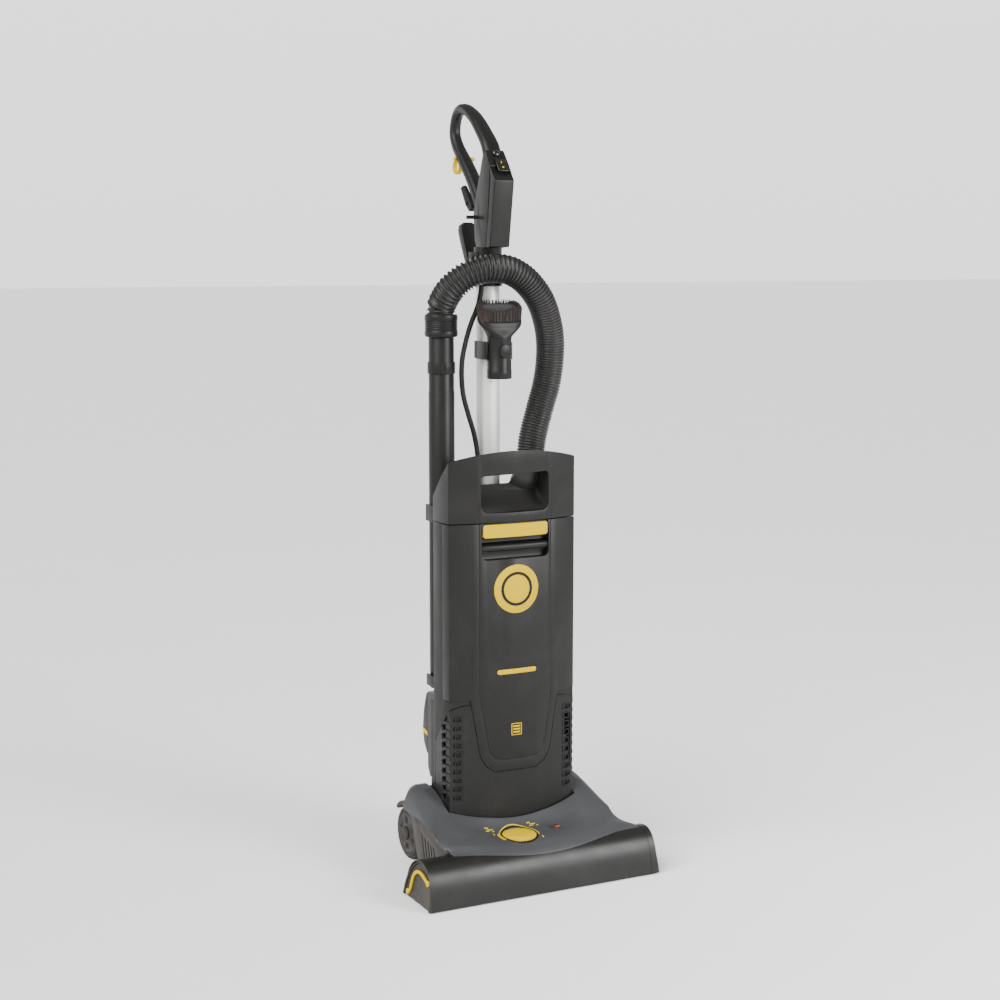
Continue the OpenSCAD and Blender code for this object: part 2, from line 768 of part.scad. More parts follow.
// closed grip loop behind the box: centre line as (y, z), half width and half depth
module handle_loop() {
    stations = [[22, 1126, 15, 10], [32, 1146, 14.5, 9], [50, 1164, 13.5, 8.5], [72, 1183, 12.5, 8.5],
        [90, 1195, 11.5, 8.5], [112, 1205.5, 10, 8.5], [133, 1208.5, 9, 8.5], [150, 1201, 8.5, 8.5],
        [159, 1184, 8.5, 8.5], [159, 1166, 9, 8.5], [146, 1147, 10, 8.5], [123, 1126, 11, 9],
        [100, 1104, 11.5, 9], [80, 1082, 12, 10], [62, 1060, 13, 12], [48, 1042, 13, 12]];
    route = smooth(stations, 2);
    n = 16;
    last = len(route) - 1;
    points = [for (i = [0 : last])
        let (a = route[max(i - 1, 0)], b = route[min(i + 1, last)],
            t = unit([b[0] - a[0], b[1] - a[1]]), c = route[i])
        each [for (k = [0 : n - 1])
            let (w = sign(cos(360 * k / n)) * pow(abs(cos(360 * k / n)), 0.8) * c[2],
                d = sign(sin(360 * k / n)) * pow(abs(sin(360 * k / n)), 0.8) * c[3])
            [w, c[0] + d * t[1], c[1] - d * t[0]]]];
    sides = [for (i = [0 : last - 1], k = [0 : n - 1])
        [i * n + k, (i + 1) * n + k, (i + 1) * n + (k + 1) % n, i * n + (k + 1) % n]];
    color(charcoal) difference() {
        polyhedron(points, concat(sides, [[for (k = [0 : n - 1]) k]],
            [[for (k = [n - 1 : -1 : 0]) last * n + k]]), convexity = 6);
        across(-19, 19) polygon([[-2, 1091], [12, 990], [44, 984], [52.2, 1000], [56.3, 1040],
            [48.3, 1064], [34.3, 1100], [26.3, 1130], [17, 1138.5], [-1, 1114]]);
    }
}

module grip_bolt() {
    color(black) translate([0, 16, 1130.5]) rotate([50, 0, 0]) zcyl(5, 5, 9, 0, 0);
}

// places a shape on the slanted face below the grip, at the switch
module at_switch() {
    translate([3, -1, 1113]) rotate([50, 0, 0]) children();
}
module rocker_switch() {
    color(black) at_switch() block([-9, -12, -0.5], [9, 12, 4]);
}

// strain relief behind the grip's lower end, pointing up
module cord_inlet() {
    color(black) difference() {
        union() {
            across(-13, -3) polygon([[71.9, 1052], [75, 1050], [82, 1046], [96, 1058], [88, 1066],
                [81.1, 1065.1]]);
            translate([-8, 88, 1058]) rotate([-41, 0, 0]) cylinder(r1 = 7.5, r2 = 5.5, h = 34);
        }
        translate([-8, 88, 1058]) rotate([-41, 0, 0]) translate([0, 0, 4]) cylinder(r = 4, h = 40);
    }
}

// yellow ring behind the grip that holds the cord
module cord_clip() {
    color(yellow) difference() {
        xcyl(11.8, -6, 2, 146, 1118);
        xcyl(9.8, -7, 3, 146, 1118);
    }
}

// upper cord hook, which turns down to free the cord
module cord_hook() {
    color(black) union() {
        intersection() {
            across(-15, 15) polygon([[70, 952], [78, 946], [92, 964], [112, 1000], [122, 1024],
                [118, 1029], [110, 1029], [98, 1004], [84, 974]]);
            translate([0, 200, 0]) rotate([90, 0, 0]) linear_extrude(200)
                polygon([[-15, 940], [-15, 1016], [-12, 1024], [-6, 1029], [6, 1029], [12, 1024],
                    [15, 1016], [15, 940]]);
        }
        ycyl(8, 60.5, 74, 0, 956);
    }
}

module lower_cord_hook() {
    color(black) difference() {
        union() {
            block([-14, pole_y + 20, 500], [14, 92, 514]);
            block([-14, 84, 440], [14, 92, 501]);
        }
        zcyl(26.1, 490, 520, 0, pole_y);
    }
}

module motor_cable() {
    color(black) sweep(smooth(cable_route, 3), cable_d / 2, 8, [0.1, 1, 0.2]);
}

// ---- bag door ------------------------------------------------------------------

// front door of the bag chamber with its tongue and the pocket round the latch
module bag_door() {
    color(charcoal) difference() {
        union() {
            difference() {
                union() {
                    intersection() {
                        translate([0, 0, door_low + 0.5]) linear_extrude(door_top - door_low - 1.7)
                            polygon(body_plan(0));
                        block([-130, -80, 280], [130, corner_y, 570]);
                    }
                    intersection() {
                        translate([0, 0, 160]) linear_extrude(140) polygon(body_plan(0));
                        translate([0, -30, 0]) rotate([90, 0, 0]) linear_extrude(60)
                            polygon(tongue(0));
                    }
                }
                translate([0, 0, 100]) linear_extrude(600) polygon(body_plan(wall + 1));
            }
            block([-62, -56, 506], [62, -38, door_top - 1.2]);
        }
        block([-59, -80, 512], [59, -42, 543]);
        block([-57, -80, 542.5], [57, -52, door_top + 1]);
    }
}

module door_latch() {
    color(yellow) translate([0, 0, 543.5]) linear_extrude(20.5)
        polygon(concat([for (i = [-4 : 4]) [14 * i, body_front_y - 0.5 + 4 * pow(i / 4, 2)]],
            [[56, -52.5], [-56, -52.5]]));
}

// ---- tools on the pole ---------------------------------------------------------

module dusting_brush() {
    color(black) translate([tool_x, tool_y, 0]) difference() {
        union() {
            zcyl(19.5, 786, 852, 0, 0);
            hull() {
                zcyl(19.5, 851, 852, 0, 0);
                both_sides() zcyl(15, 876, 884, 22, 0);
            }
        }
        zcyl(socket_r, 785, 826, 0, 0);
        zcyl(12, 820, 890, 0, 0);
    }
}

// clip on the pole that holds the dusting brush, open to the front
module brush_clip() {
    color(charcoal) difference() {
        union() {
            zcyl(pole_r + 3.5, 816, 843, 0, pole_y);
            block([tool_x - 23, tool_y, 816], [tool_x + 23, pole_y - 14, 843]);
        }
        zcyl(pole_r + slack, 810, 850, 0, pole_y);
        zcyl(19.8, 810, 850, tool_x, tool_y);
    }
}

module brush_bristles() {
    color("saddlebrown") translate([tool_x, tool_y, 0]) hull() {
        both_sides() zcyl(13, 884.2, 904, 22, 0);
    }
}

base_plate();
front_hood();
end_cap_left();
end_cap_right();
head_cover();
shoulder_left();
shoulder_right();
side_panel_left();
side_panel_right();
indicator_window();
brush_bearings();
drive_belt();
rear_axle();
intake_duct();
brush_lever();
roller_core();
roller_bristles();
wheel_left();
wheel_right();
roller_carriage();
caster_left();
caster_right();
height_knob();
foot_pedal();
neck_drum();
motor_cover();
main_housing();
rear_spine();
top_cover();
dust_bag();
bag_collar();
suction_motor();
suction_fan();
brush_motor();
drive_shaft();
exhaust_filter();
exhaust_cover();
wand_clips();
hose_port();
hose();
hose_cuff();
wand_upper();
wand_lower();
hose_hook();
pole();
handle_box();
handle_front();
handle_loop();
grip_bolt();
rocker_switch();
cord_inlet();
cord_clip();
cord_hook();
lower_cord_hook();
motor_cable();
bag_door();
door_latch();
brush_clip();
dusting_brush();
brush_bristles();
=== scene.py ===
"""Looks of a commercial upright vacuum cleaner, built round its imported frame."""
import json
import math
import random

import bmesh
import bpy
import numpy as np
from mathutils import Matrix, Vector
from mathutils.bvhtree import BVHTree


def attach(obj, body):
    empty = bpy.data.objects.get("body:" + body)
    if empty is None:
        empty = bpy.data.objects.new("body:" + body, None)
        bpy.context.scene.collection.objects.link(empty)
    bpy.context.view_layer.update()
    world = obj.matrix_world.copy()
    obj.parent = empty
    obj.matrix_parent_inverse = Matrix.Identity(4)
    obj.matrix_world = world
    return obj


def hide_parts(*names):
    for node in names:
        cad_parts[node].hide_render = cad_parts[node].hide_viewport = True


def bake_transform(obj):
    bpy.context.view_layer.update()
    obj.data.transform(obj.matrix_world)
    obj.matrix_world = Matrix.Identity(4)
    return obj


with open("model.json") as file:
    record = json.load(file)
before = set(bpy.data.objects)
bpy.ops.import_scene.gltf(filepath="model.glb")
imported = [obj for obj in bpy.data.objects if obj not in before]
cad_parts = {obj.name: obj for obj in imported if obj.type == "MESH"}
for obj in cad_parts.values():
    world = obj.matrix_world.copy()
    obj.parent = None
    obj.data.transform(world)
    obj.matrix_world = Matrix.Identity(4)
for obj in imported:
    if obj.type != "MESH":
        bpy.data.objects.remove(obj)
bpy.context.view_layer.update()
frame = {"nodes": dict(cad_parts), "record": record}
NODES = frame["nodes"]
BODY_OF = {n: b for b, ns in frame["record"]["behaviour"]["bodies"].items() for n in ns}
SLOT_OF = {s["node"]: s["material_slot"] for s in frame["record"]["subparts"]}
MM = 0.001
SIDES = ((-1, "left"), (1, "right"))

# ---- camera ---------------------------------------------------------------------

CAMERA_AT = (-1.2621, -2.5238, 0.9854)
CAMERA_YAW = 26.59
CAMERA_PITCH = 7.91
CAMERA_LENS = 64.8

camera = bpy.data.objects.new("camera", bpy.data.cameras.new("camera"))
bpy.context.scene.collection.objects.link(camera)
camera.data.lens = CAMERA_LENS
camera.data.sensor_width = 36
camera.location = CAMERA_AT
camera.rotation_euler = (math.radians(90 - CAMERA_PITCH), 0, math.radians(-CAMERA_YAW))
bpy.context.scene.camera = camera

# routes of the two cords in millimetres, the same points as their solids have
HOSE_ROUTE = [
    (79, 43, 640), (79, 43, 668), (83, 40, 698), (92, 35, 738), (100, 28, 778),
    (101, 20, 826), (93, 12, 866), (75, 5, 906), (48, 0, 936), (18, -4, 953),
    (-9, -5, 957), (-34, -1, 954), (-56, 7, 944), (-73, 19, 927), (-80, 31, 910),
    (-82, 38, 899), (-82, 39, 892), (-82, 39, 888), (-82, 39, 885)]
CABLE_ROUTE = [
    (-26, 40, 970), (-26, 40, 966), (-26, 40, 962), (-26, 34, 953), (-25, 25, 942),
    (-23, 17, 928), (-29, 16, 900), (-41, 18, 870), (-49, 20, 842), (-54, 22, 814),
    (-54, 24, 786), (-50, 26, 758), (-41, 27, 728), (-31, 28, 698), (-25, 28, 666),
    (-24, 28, 636), (-24, 28, 612)]
HOSE_R = 23
CABLE_R = 4

# ---- materials ------------------------------------------------------------------


def material(name, **uniform):
    """A new material; uniform values are set on the shader's own sockets."""
    mat = bpy.data.materials.new(name)
    mat.use_nodes = True
    bsdf = mat.node_tree.nodes["Principled BSDF"]
    for socket, value in uniform.items():
        bsdf.inputs[socket.replace("_", " ")].default_value = value
    return mat, mat.node_tree, bsdf


def add(tree, kind, **sockets):
    node = tree.nodes.new("ShaderNode" + kind)
    for key, value in sockets.items():
        if key in node.inputs:
            node.inputs[key].default_value = value
        else:
            setattr(node, key, value)
    return node


def noise(tree, scale, detail=3, rough=0.55, stretch=None):
    """A noise texture in the object's own space, which is the machine's frame."""
    coord = add(tree, "TexCoord")
    out = add(tree, "TexNoise", Scale=scale, Detail=detail, Roughness=rough)
    source = coord.outputs["Object"]
    if stretch:
        mapping = add(tree, "Mapping", Scale=stretch)
        tree.links.new(source, mapping.inputs["Vector"])
        source = mapping.outputs["Vector"]
    tree.links.new(source, out.inputs["Vector"])
    return out.outputs["Fac"]


def ramp(tree, fac, *stops):
    """Colour ramp over fac; stops are (position, value or colour)."""
    node = add(tree, "ValToRGB")
    tree.links.new(fac, node.inputs["Fac"])
    while len(node.color_ramp.elements) < len(stops):
        node.color_ramp.elements.new(0.5)
    for element, (position, value) in zip(node.color_ramp.elements, stops):
        element.position = position
        element.color = (*value, 1) if hasattr(value, "__len__") else (value,) * 3 + (1,)
    return node.outputs["Color"]


def mix(tree, fac, a, b, blend="MIX"):
    node = add(tree, "Mix", data_type="RGBA", blend_type=blend)
    for socket, value in ((node.inputs[0], fac), (node.inputs[6], a), (node.inputs[7], b)):
        if isinstance(value, bpy.types.NodeSocket):
            tree.links.new(value, socket)
        else:
            socket.default_value = (*value, 1) if hasattr(value, "__len__") else value
    return node.outputs[2]


def bump(tree, bsdf, *layers):
    """Stacks bump layers, each (height socket, distance in metres, strength)."""
    normal = None
    for height, distance, strength in layers:
        node = add(tree, "Bump", Distance=distance, Strength=strength)
        tree.links.new(height, node.inputs["Height"])
        if normal:
            tree.links.new(normal, node.inputs["Normal"])
        normal = node.outputs["Normal"]
    tree.links.new(normal, bsdf.inputs["Normal"])


def scaled(color, factor):
    return tuple(min(1, c * factor) for c in color)


def plastic(name, color, rough, variation=0.08, coat=0.0, specular=0.22, dust=0.02):
    """Moulded plastic: spark-eroded grain, slight flow marks, handling sheen, faint dust."""
    mat, tree, bsdf = material(name, Coat_Weight=coat, Coat_Roughness=0.12,
                               Specular_IOR_Level=specular)
    broad = ramp(tree, noise(tree, 7, 4), (0.3, scaled(color, 1 - variation)),
                 (0.7, scaled(color, 1 + variation)))
    pits = noise(tree, 1300, 2, 0.7)
    speck = mix(tree, ramp(tree, pits, (0.4, 0.0), (0.8, 0.4)), broad, scaled(color, 1.5))
    haze = ramp(tree, noise(tree, 16, 6, 0.65), (0.5, 0.0), (0.85, dust))
    tree.links.new(mix(tree, haze, speck, (0.4, 0.38, 0.36)), bsdf.inputs["Base Color"])
    tree.links.new(ramp(tree, noise(tree, 24, 5), (0.25, rough - 0.05), (0.75, rough + 0.07)),
                   bsdf.inputs["Roughness"])
    bump(tree, bsdf, (noise(tree, 34, 2), 0.0005, 0.05), (pits, 0.00005, 0.8))
    return mat


def rubber(name, color, rough, specular):
    """Rubber or vinyl: dull, with a fine grain and a little dust."""
    mat, tree, bsdf = material(name, Specular_IOR_Level=specular)
    base = ramp(tree, noise(tree, 30, 5), (0.3, scaled(color, 0.8)), (0.7, scaled(color, 1.25)))
    dusty = mix(tree, ramp(tree, noise(tree, 260, 4, 0.7), (0.55, 0.0), (0.85, 0.07)), base,
                (0.3, 0.29, 0.28))
    tree.links.new(dusty, bsdf.inputs["Base Color"])
    tree.links.new(ramp(tree, noise(tree, 90, 4), (0.3, rough - 0.07), (0.7, rough + 0.08)),
                   bsdf.inputs["Roughness"])
    bump(tree, bsdf, (noise(tree, 900, 3), 0.0001, 0.5))
    return mat


def metal(name, color, rough, stretch=(1, 1, 0.02), metallic=1.0):
    """Drawn or turned metal: fine lines along one axis, uneven sheen."""
    mat, tree, bsdf = material(name, Metallic=metallic)
    lines = noise(tree, 420, 4, 0.7, stretch)
    tree.links.new(ramp(tree, lines, (0.3, scaled(color, 0.93)), (0.7, scaled(color, 1.05))),
                   bsdf.inputs["Base Color"])
    tree.links.new(ramp(tree, noise(tree, 22, 5), (0.2, rough - 0.05), (0.8, rough + 0.08)),
                   bsdf.inputs["Roughness"])
    bump(tree, bsdf, (lines, 0.00003, 0.4))
    return mat


def fibre(name, color, rough=0.8, scale=1600, stretch=(1, 1, 0.08)):
    """Bristle or paper: streaks along the strands."""
    mat, tree, bsdf = material(name)
    streak = noise(tree, scale, 3, 0.6, stretch)
    tree.links.new(ramp(tree, streak, (0.3, scaled(color, 0.55)), (0.7, scaled(color, 1.5))),
                   bsdf.inputs["Base Color"])
    tree.links.new(ramp(tree, noise(tree, 300, 2), (0.2, rough - 0.1), (0.8, rough + 0.1)),
                   bsdf.inputs["Roughness"])
    bump(tree, bsdf, (streak, 0.0002, 0.6))
    return mat


# colour, roughness and so on of each slot, by the function that makes it
LOOKS = {
    plastic: {
        "charcoal_plastic": dict(color=(0.0068, 0.0066, 0.0062), rough=0.38),
        "slate_plastic": dict(color=(0.0400, 0.0412, 0.0435), rough=0.46, variation=0.06),
        "stone_plastic": dict(color=(0.026, 0.0225, 0.0185), rough=0.5),
        "black_plastic": dict(color=(0.0078, 0.0075, 0.0072), rough=0.36, specular=0.17,
                              dust=0.01),
        "gloss_black": dict(color=(0.006, 0.006, 0.006), rough=0.2, coat=0.4, dust=0.01),
        "yellow_plastic": dict(color=(0.50, 0.34, 0.0), rough=0.5, variation=0.02,
                               specular=0.05, dust=0.0),
        "red_lens": dict(color=(0.045, 0.026, 0.026), rough=0.35, specular=0.15, dust=0.01),
        # finishes of single pieces, over the slot that the piece has in the CAD
        "smoke_grey": dict(color=(0.12, 0.118, 0.114), rough=0.4),
        # inside of the handle's opening: lighter than the charcoal round it, painted light in the
        # hollow
        "scoop_grey": dict(color=(0.0175, 0.0170, 0.0164), rough=0.36, specular=0.3),
        # hood: the charcoal plastic with a lighter base colour, painted light so the hood reads
        # brighter; also more specular
        "hood_plastic": dict(color=(0.0085, 0.0083, 0.0078), rough=0.36, specular=0.32),
        "red_mark": dict(color=(0.50, 0.055, 0.02), rough=0.4, dust=0.01),
    },
    rubber: {
        "black_rubber": dict(color=(0.009, 0.009, 0.009), rough=0.55, specular=0.2),
        "grey_rubber": dict(color=(0.020, 0.018, 0.0165), rough=0.6, specular=0.2),
        "hose_vinyl": dict(color=(0.0150, 0.0143, 0.0138), rough=0.36, specular=0.36),
    },
    fibre: {
        "black_bristle": dict(color=(0.03, 0.03, 0.03)),
        "brown_bristle": dict(color=(0.019, 0.0125, 0.0095)),
        "bag_paper": dict(color=(0.55, 0.47, 0.33), rough=0.9, scale=500, stretch=(1, 1, 0.6)),
        "filter_fleece": dict(color=(0.8, 0.8, 0.77), rough=0.95, scale=700, stretch=(1, 1, 1)),
    },
    metal: {
        "steel": dict(color=(0.55, 0.55, 0.56), rough=0.32, stretch=(0.05, 1, 1)),
        "aluminium": dict(color=(0.60, 0.60, 0.57), rough=0.45, metallic=0.4),
    },
}
SLOT_MATERIAL = {name: make(name, **look) for make, looks in LOOKS.items()
                 for name, look in looks.items()}

# ---- mesh helpers ---------------------------------------------------------------


def raw(name, verts, faces, scale=MM):
    """A mesh object, its points in millimetres unless scale says otherwise."""
    mesh = bpy.data.meshes.new(name)
    mesh.from_pydata([Vector(v) * scale for v in verts], [], faces)
    mesh.validate()
    obj = bpy.data.objects.new(name, mesh)
    bpy.context.scene.collection.objects.link(obj)
    return obj


def dress(obj, slot, body=None, replaces=(), smooth=30, finish=None):
    """Gives a piece its material, body, replaced nodes and shading."""
    obj.data.materials.clear()
    obj.data.materials.append(SLOT_MATERIAL[finish or slot])
    if smooth is not None:
        obj.data.shade_smooth()
        obj.data.set_sharp_from_angle(angle=math.radians(smooth))
    if body:
        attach(obj, body)
    if replaces:
        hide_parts(*replaces)
    return obj


def modified(obj, kind, **settings):
    """Works one modifier into a piece's mesh."""
    mod = obj.modifiers.new(kind, kind)
    for key, value in settings.items():
        setattr(mod, key, value)
    depsgraph = bpy.context.evaluated_depsgraph_get()
    depsgraph.update()
    mesh = bpy.data.meshes.new_from_object(obj.evaluated_get(depsgraph))
    obj.modifiers.clear()
    old, obj.data = obj.data, mesh
    bpy.data.meshes.remove(old)
    return obj


def edited(obj, change):
    """Edits a piece's mesh through bmesh and turns all its faces outwards."""
    bm = bmesh.new()
    bm.from_mesh(obj.data)
    change(bm)
    bmesh.ops.recalc_face_normals(bm, faces=bm.faces)
    bm.to_mesh(obj.data)
    bm.free()
    return obj


def cleaned(obj, angle=0.01):
    """Welds a piece's points and joins its flat triangles into whole faces."""
    def weld(bm):
        bmesh.ops.remove_doubles(bm, verts=bm.verts, dist=2e-6)
        bmesh.ops.dissolve_limit(bm, angle_limit=math.radians(angle), verts=bm.verts,
                                 edges=bm.edges)

    return edited(obj, weld)


def rect(x0, x1, y0, y1):
    return [(x0, y0), (x1, y0), (x1, y1), (x0, y1)]


def span(side, near, far):
    """A range of x on one side, from low to high."""
    return sorted((side * near, side * far))


def arc(y, z, radius, degrees):
    """(y, z) points round a centre; an angle of 0 points up and 90 to the rear."""
    return [(y + radius * math.sin(math.radians(a)), z + radius * math.cos(math.radians(a)))
            for a in degrees]


def bevel(obj, width, segments=2, angle=32):
    """Rounds the sharp edges of a piece; width in millimetres."""
    return modified(obj, "BEVEL", width=width * MM, segments=segments, limit_method="ANGLE",
                    angle_limit=math.radians(angle), use_clamp_overlap=True,
                    miter_outer="MITER_ARC")


def cut(obj, tool, how="DIFFERENCE"):
    """Joins, cuts or intersects a piece with a tool, which is used up."""
    modified(obj, "BOOLEAN", operation=how, solver="EXACT", object=tool)
    bpy.data.objects.remove(tool)
    return obj


def copy_of(node):
    """An unbound copy of a CAD node's shape."""
    obj = bpy.data.objects.new(node + "_shell", NODES[node].data.copy())
    bpy.context.scene.collection.objects.link(obj)
    return cleaned(obj, 1.0)


def stands_for(obj, node, width=0.8, segments=2, angle=32, smooth=30, finish=None):
    """Rounds a piece's edges and makes it stand for a CAD node."""
    cleaned(obj, 0.5)
    if width:
        bevel(obj, width, segments, angle)
    return dress(obj, SLOT_OF[node], BODY_OF[node], [node], smooth, finish)


def painted(obj, finish, where):
    """Gives another finish to the faces whose centre, in millimetres, passes a test."""
    obj.data.materials.append(SLOT_MATERIAL[finish])
    for face in obj.data.polygons:
        if where(*(c / MM for c in face.center)):
            face.material_index = 1


def solid(outline, axis, low, high, name="tool"):
    """A flat outline extruded along an axis: (y, z) along x, (x, z) along y or (x, y) along z."""
    n = len(outline)
    place = {"x": lambda p, d: (d, p[0], p[1]), "y": lambda p, d: (p[0], d, p[1]),
             "z": lambda p, d: (p[0], p[1], d)}[axis]
    verts = [place(p, low) for p in outline] + [place(p, high) for p in outline]
    faces = [tuple(range(n)), tuple(range(2 * n - 1, n - 1, -1))]
    faces += [(i, (i + 1) % n, n + (i + 1) % n, n + i) for i in range(n)]
    return cleaned(raw(name, verts, faces))


def skin(n, m, closed=False):
    """Faces through m rings of n points; closed joins the last ring to the first."""
    faces = [(i * n + k, i * n + (k + 1) % n, (i + 1) % m * n + (k + 1) % n, (i + 1) % m * n + k)
             for i in range(m if closed else m - 1) for k in range(n)]
    if not closed:
        faces += [tuple(range(n - 1, -1, -1)), tuple((m - 1) * n + k for k in range(n))]
    return faces


def loft(rings, name="tool", closed=False):
    """A solid through rings that have the same number of points."""
    return cleaned(raw(name, [p for ring in rings for p in ring],
                       skin(len(rings[0]), len(rings), closed)))


def rounded(x0, x1, z0, z1, low_r, high_r=None, steps=6):
    """Outline of a rectangle with rounded corners, from its lower left corner on."""
    high_r = low_r if high_r is None else high_r
    out = []
    corners = ((x0 + low_r, z0 + low_r, low_r, 180), (x1 - low_r, z0 + low_r, low_r, 270),
               (x1 - high_r, z1 - high_r, high_r, 0), (x0 + high_r, z1 - high_r, high_r, 90))
    for cx, cz, r, start in corners:
        for k in range(steps + 1):
            a = math.radians(start + 90 * k / steps)
            out.append((cx + r * math.cos(a), cz + r * math.sin(a)))
    return out


def circle(x, z, r, n=72):
    return [(x + r * math.cos(2 * math.pi * k / n), z + r * math.sin(2 * math.pi * k / n))
            for k in range(n)]


def lookup(x, table):
    """Value at x in a table of (place, value) points, straight between them."""
    xs, ys = zip(*table)
    return float(np.interp(x, xs, ys))


def turned(profile, centre, axis, n=64, name="tool"):
    """A turned solid: profile of (radius, height) about x or z through centre."""
    rings = []
    for r, h in profile:
        ring = []
        for k in range(n):
            w = 2 * math.pi * k / n
            u, v = max(r, 0.01) * math.cos(w), max(r, 0.01) * math.sin(w)
            p = (h, u, v) if axis == "x" else (u, v, h)
            ring.append(tuple(c + q for c, q in zip(centre, p)))
        rings.append(ring)
    return loft(rings, name)


def mirrored_to(obj, side, x, y, z):
    """Moves a piece turned about x to a place on one side, its outer face outwards."""
    obj.data.transform(Matrix.Scale(side, 4, (1, 0, 0)))
    obj.data.transform(Matrix.Translation(Vector((side * x, y, z)) * MM))
    return cleaned(obj)


def sliced(bm, places):
    """Cuts a mesh across at each x in metres, so that it can bend there."""
    for x in places:
        bmesh.ops.bisect_plane(bm, geom=bm.verts[:] + bm.edges[:] + bm.faces[:],
                               plane_co=(x, 0, 0), plane_no=(1, 0, 0))


def resampled(points, step, extra=0):
    """Points spread evenly along a line, and how far along it each one lies."""
    length = np.concatenate([[0], np.cumsum(np.linalg.norm(np.diff(points, axis=0), axis=1))])
    marks = np.linspace(0, length[-1], max(2, int(length[-1] / step) + extra))
    return np.stack([np.interp(marks, length, column) for column in points.T], 1), marks


def directions(points):
    run = np.gradient(points, axis=0)
    return run / np.linalg.norm(run, axis=1)[:, None]


def smooth_route(points, step):
    """A Catmull-Rom curve through the points, sampled about every step millimetres."""
    p = np.array([points[0], *points, points[-1]], float)
    out = []
    for i in range(1, len(p) - 2):
        a, b, c, d = p[i - 1 : i + 3]
        n = max(2, int(np.linalg.norm(c - b) / (step / 4)))
        for t in np.arange(n) / n:
            out.append(0.5 * (2 * b + (c - a) * t + (2 * a - 5 * b + 4 * c - d) * t * t
                              + (3 * b - a - 3 * c + d) * t ** 3))
    return resampled(np.array([*out, p[-1]]), step, 1)


def frames_along(path, up=(0.1, 1, 0.2)):
    """Two cross directions at each point of a path, without twist."""
    tangent = directions(path)
    side = np.cross(tangent[0], up)
    side /= np.linalg.norm(side)
    sides = []
    for t in tangent:
        side = side - t * (side @ t)
        side /= np.linalg.norm(side)
        sides.append(side.copy())
    sides = np.array(sides)
    return sides, np.cross(tangent, sides)


def tube(path, radius, n=24):
    """Verts and faces of a tube; radius is a number, or a function of (index, angle)."""
    a, b = frames_along(path)
    verts = []
    for i in range(len(path)):
        for k in range(n):
            w = 2 * math.pi * k / n
            r = radius(i, w) if callable(radius) else radius
            verts.append(path[i] + r * (a[i] * math.cos(w) + b[i] * math.sin(w)))
    return verts, skin(n, len(path))


# ---- cords ----------------------------------------------------------------------

FINE_PITCH = 4.5
COARSE_PITCH = 6.6
COARSE_FROM, COARSE_RAMP = 250, 90
hose_path, hose_marks = smooth_route(HOSE_ROUTE, FINE_PITCH / 8)
coarse = np.clip((hose_marks - COARSE_FROM) / COARSE_RAMP, 0, 1)
hose_turns = np.concatenate([[0], np.cumsum(
    np.diff(hose_marks) / (FINE_PITCH + (COARSE_PITCH - FINE_PITCH) * coarse[:-1]))])


def hose_radius(i, w):
    """Helical ribs: fine and shallow near the port, open and deep near the wand."""
    wave = 0.5 + 0.5 * math.cos(2 * math.pi * (hose_turns[i] + w / (2 * math.pi)))
    return HOSE_R - (2.0 + 2.0 * coarse[i]) * wave ** (1.6 - 0.8 * coarse[i])


hose = dress(raw("stretch_hose", *tube(hose_path, hose_radius, 40)), "hose_vinyl", smooth=180)
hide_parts("hose")
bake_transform(hose)

cable_path, cable_marks = smooth_route(CABLE_ROUTE, 2.5)
cable = dress(raw("handle_cable", *tube(cable_path, CABLE_R, 20)), "black_rubber", "upright",
              ["motor_cable"], 60)
gland = turned([(7.5, 0), (7.5, 3), (6.6, 4), (6.4, 8), (5.8, 9), (5.8, 12), (5.3, 13),
                (5.2, 18), (4.7, 19), (4.5, 28), (4.1, 30)], (*CABLE_ROUTE[-1][:2], 603),
               "z", 32, "cable_gland")
dress(gland, "black_rubber", "upright")
sleeve = turned([(4.1, -26), (4.5, -24), (4.8, -14), (5.4, -13), (5.6, -6), (6.4, -5), (6.6, 1)],
                CABLE_ROUTE[0], "z", 32, "cable_sleeve")
dress(sleeve, "black_rubber", "upright")

# ---- floor head -----------------------------------------------------------------

CREST_Y, FRONT_Y, HOOD_REAR_Y = -130, -168, -70
HOOD_FOOT, HOOD_RISE, HOOD_POWER = 2, 68, 2.2
PIVOT_Y, PIVOT_Z, SHOULDER_R, EDGE_R = 32, 98, 38, 2.5
BODY_HW, BODY_FRONT, BOW = 110, -61, 16

# the cover: its gap for the upright, the strip that rounds down outside it, and its rows
GAP_X, STRIP_X, STRIP_W, CORNER_X = 113, 128, 28, 140
SHOULDER_FRONT = -48
FRONT_ROWS, FLANK_ROWS, BACK_ROWS, SEAM_ROWS = 30, 22, 14, 6
COVER_T = 2.4
# heights from front to back: in the middle, beside the upright and at the outer rim
MID = [(-156, 56), (-146, 66), (-134, 74), (-118, 77.5), (-98, 78.5), (-78, 79.5), (-70, 85),
       (-61, 97), (-45, 104)]
FLANK = [(-134, 76), (-102, 85), (-73, 99), (-42, 114), (-18, 126), (8, 134), (32, 136)]
RIM = [(-138, 78), (-83, 94), (-38, 101), (0, 99.5), (32, 101)]
# front corners drawn sideways over the hood: where that starts, how far, and the gap left
CORNERS = {1: (-78, 27, 1.5), -1: (-92, 12, 1.0)}


def hood_top(y):
    """Height of the hood's own surface."""
    if y < CREST_Y:
        run = (CREST_Y - y) / (CREST_Y - FRONT_Y)
        return HOOD_FOOT + HOOD_RISE * max(0, 1 - run ** HOOD_POWER) ** (1 / HOOD_POWER)
    run = (y - CREST_Y) / (HOOD_REAR_Y - CREST_Y)
    return HOOD_FOOT + HOOD_RISE * math.sqrt(max(0, 1 - run ** 2))


def smoothstep(a, b, x):
    t = min(1, max(0, (x - a) / (b - a)))
    return t * t * (3 - 2 * t)


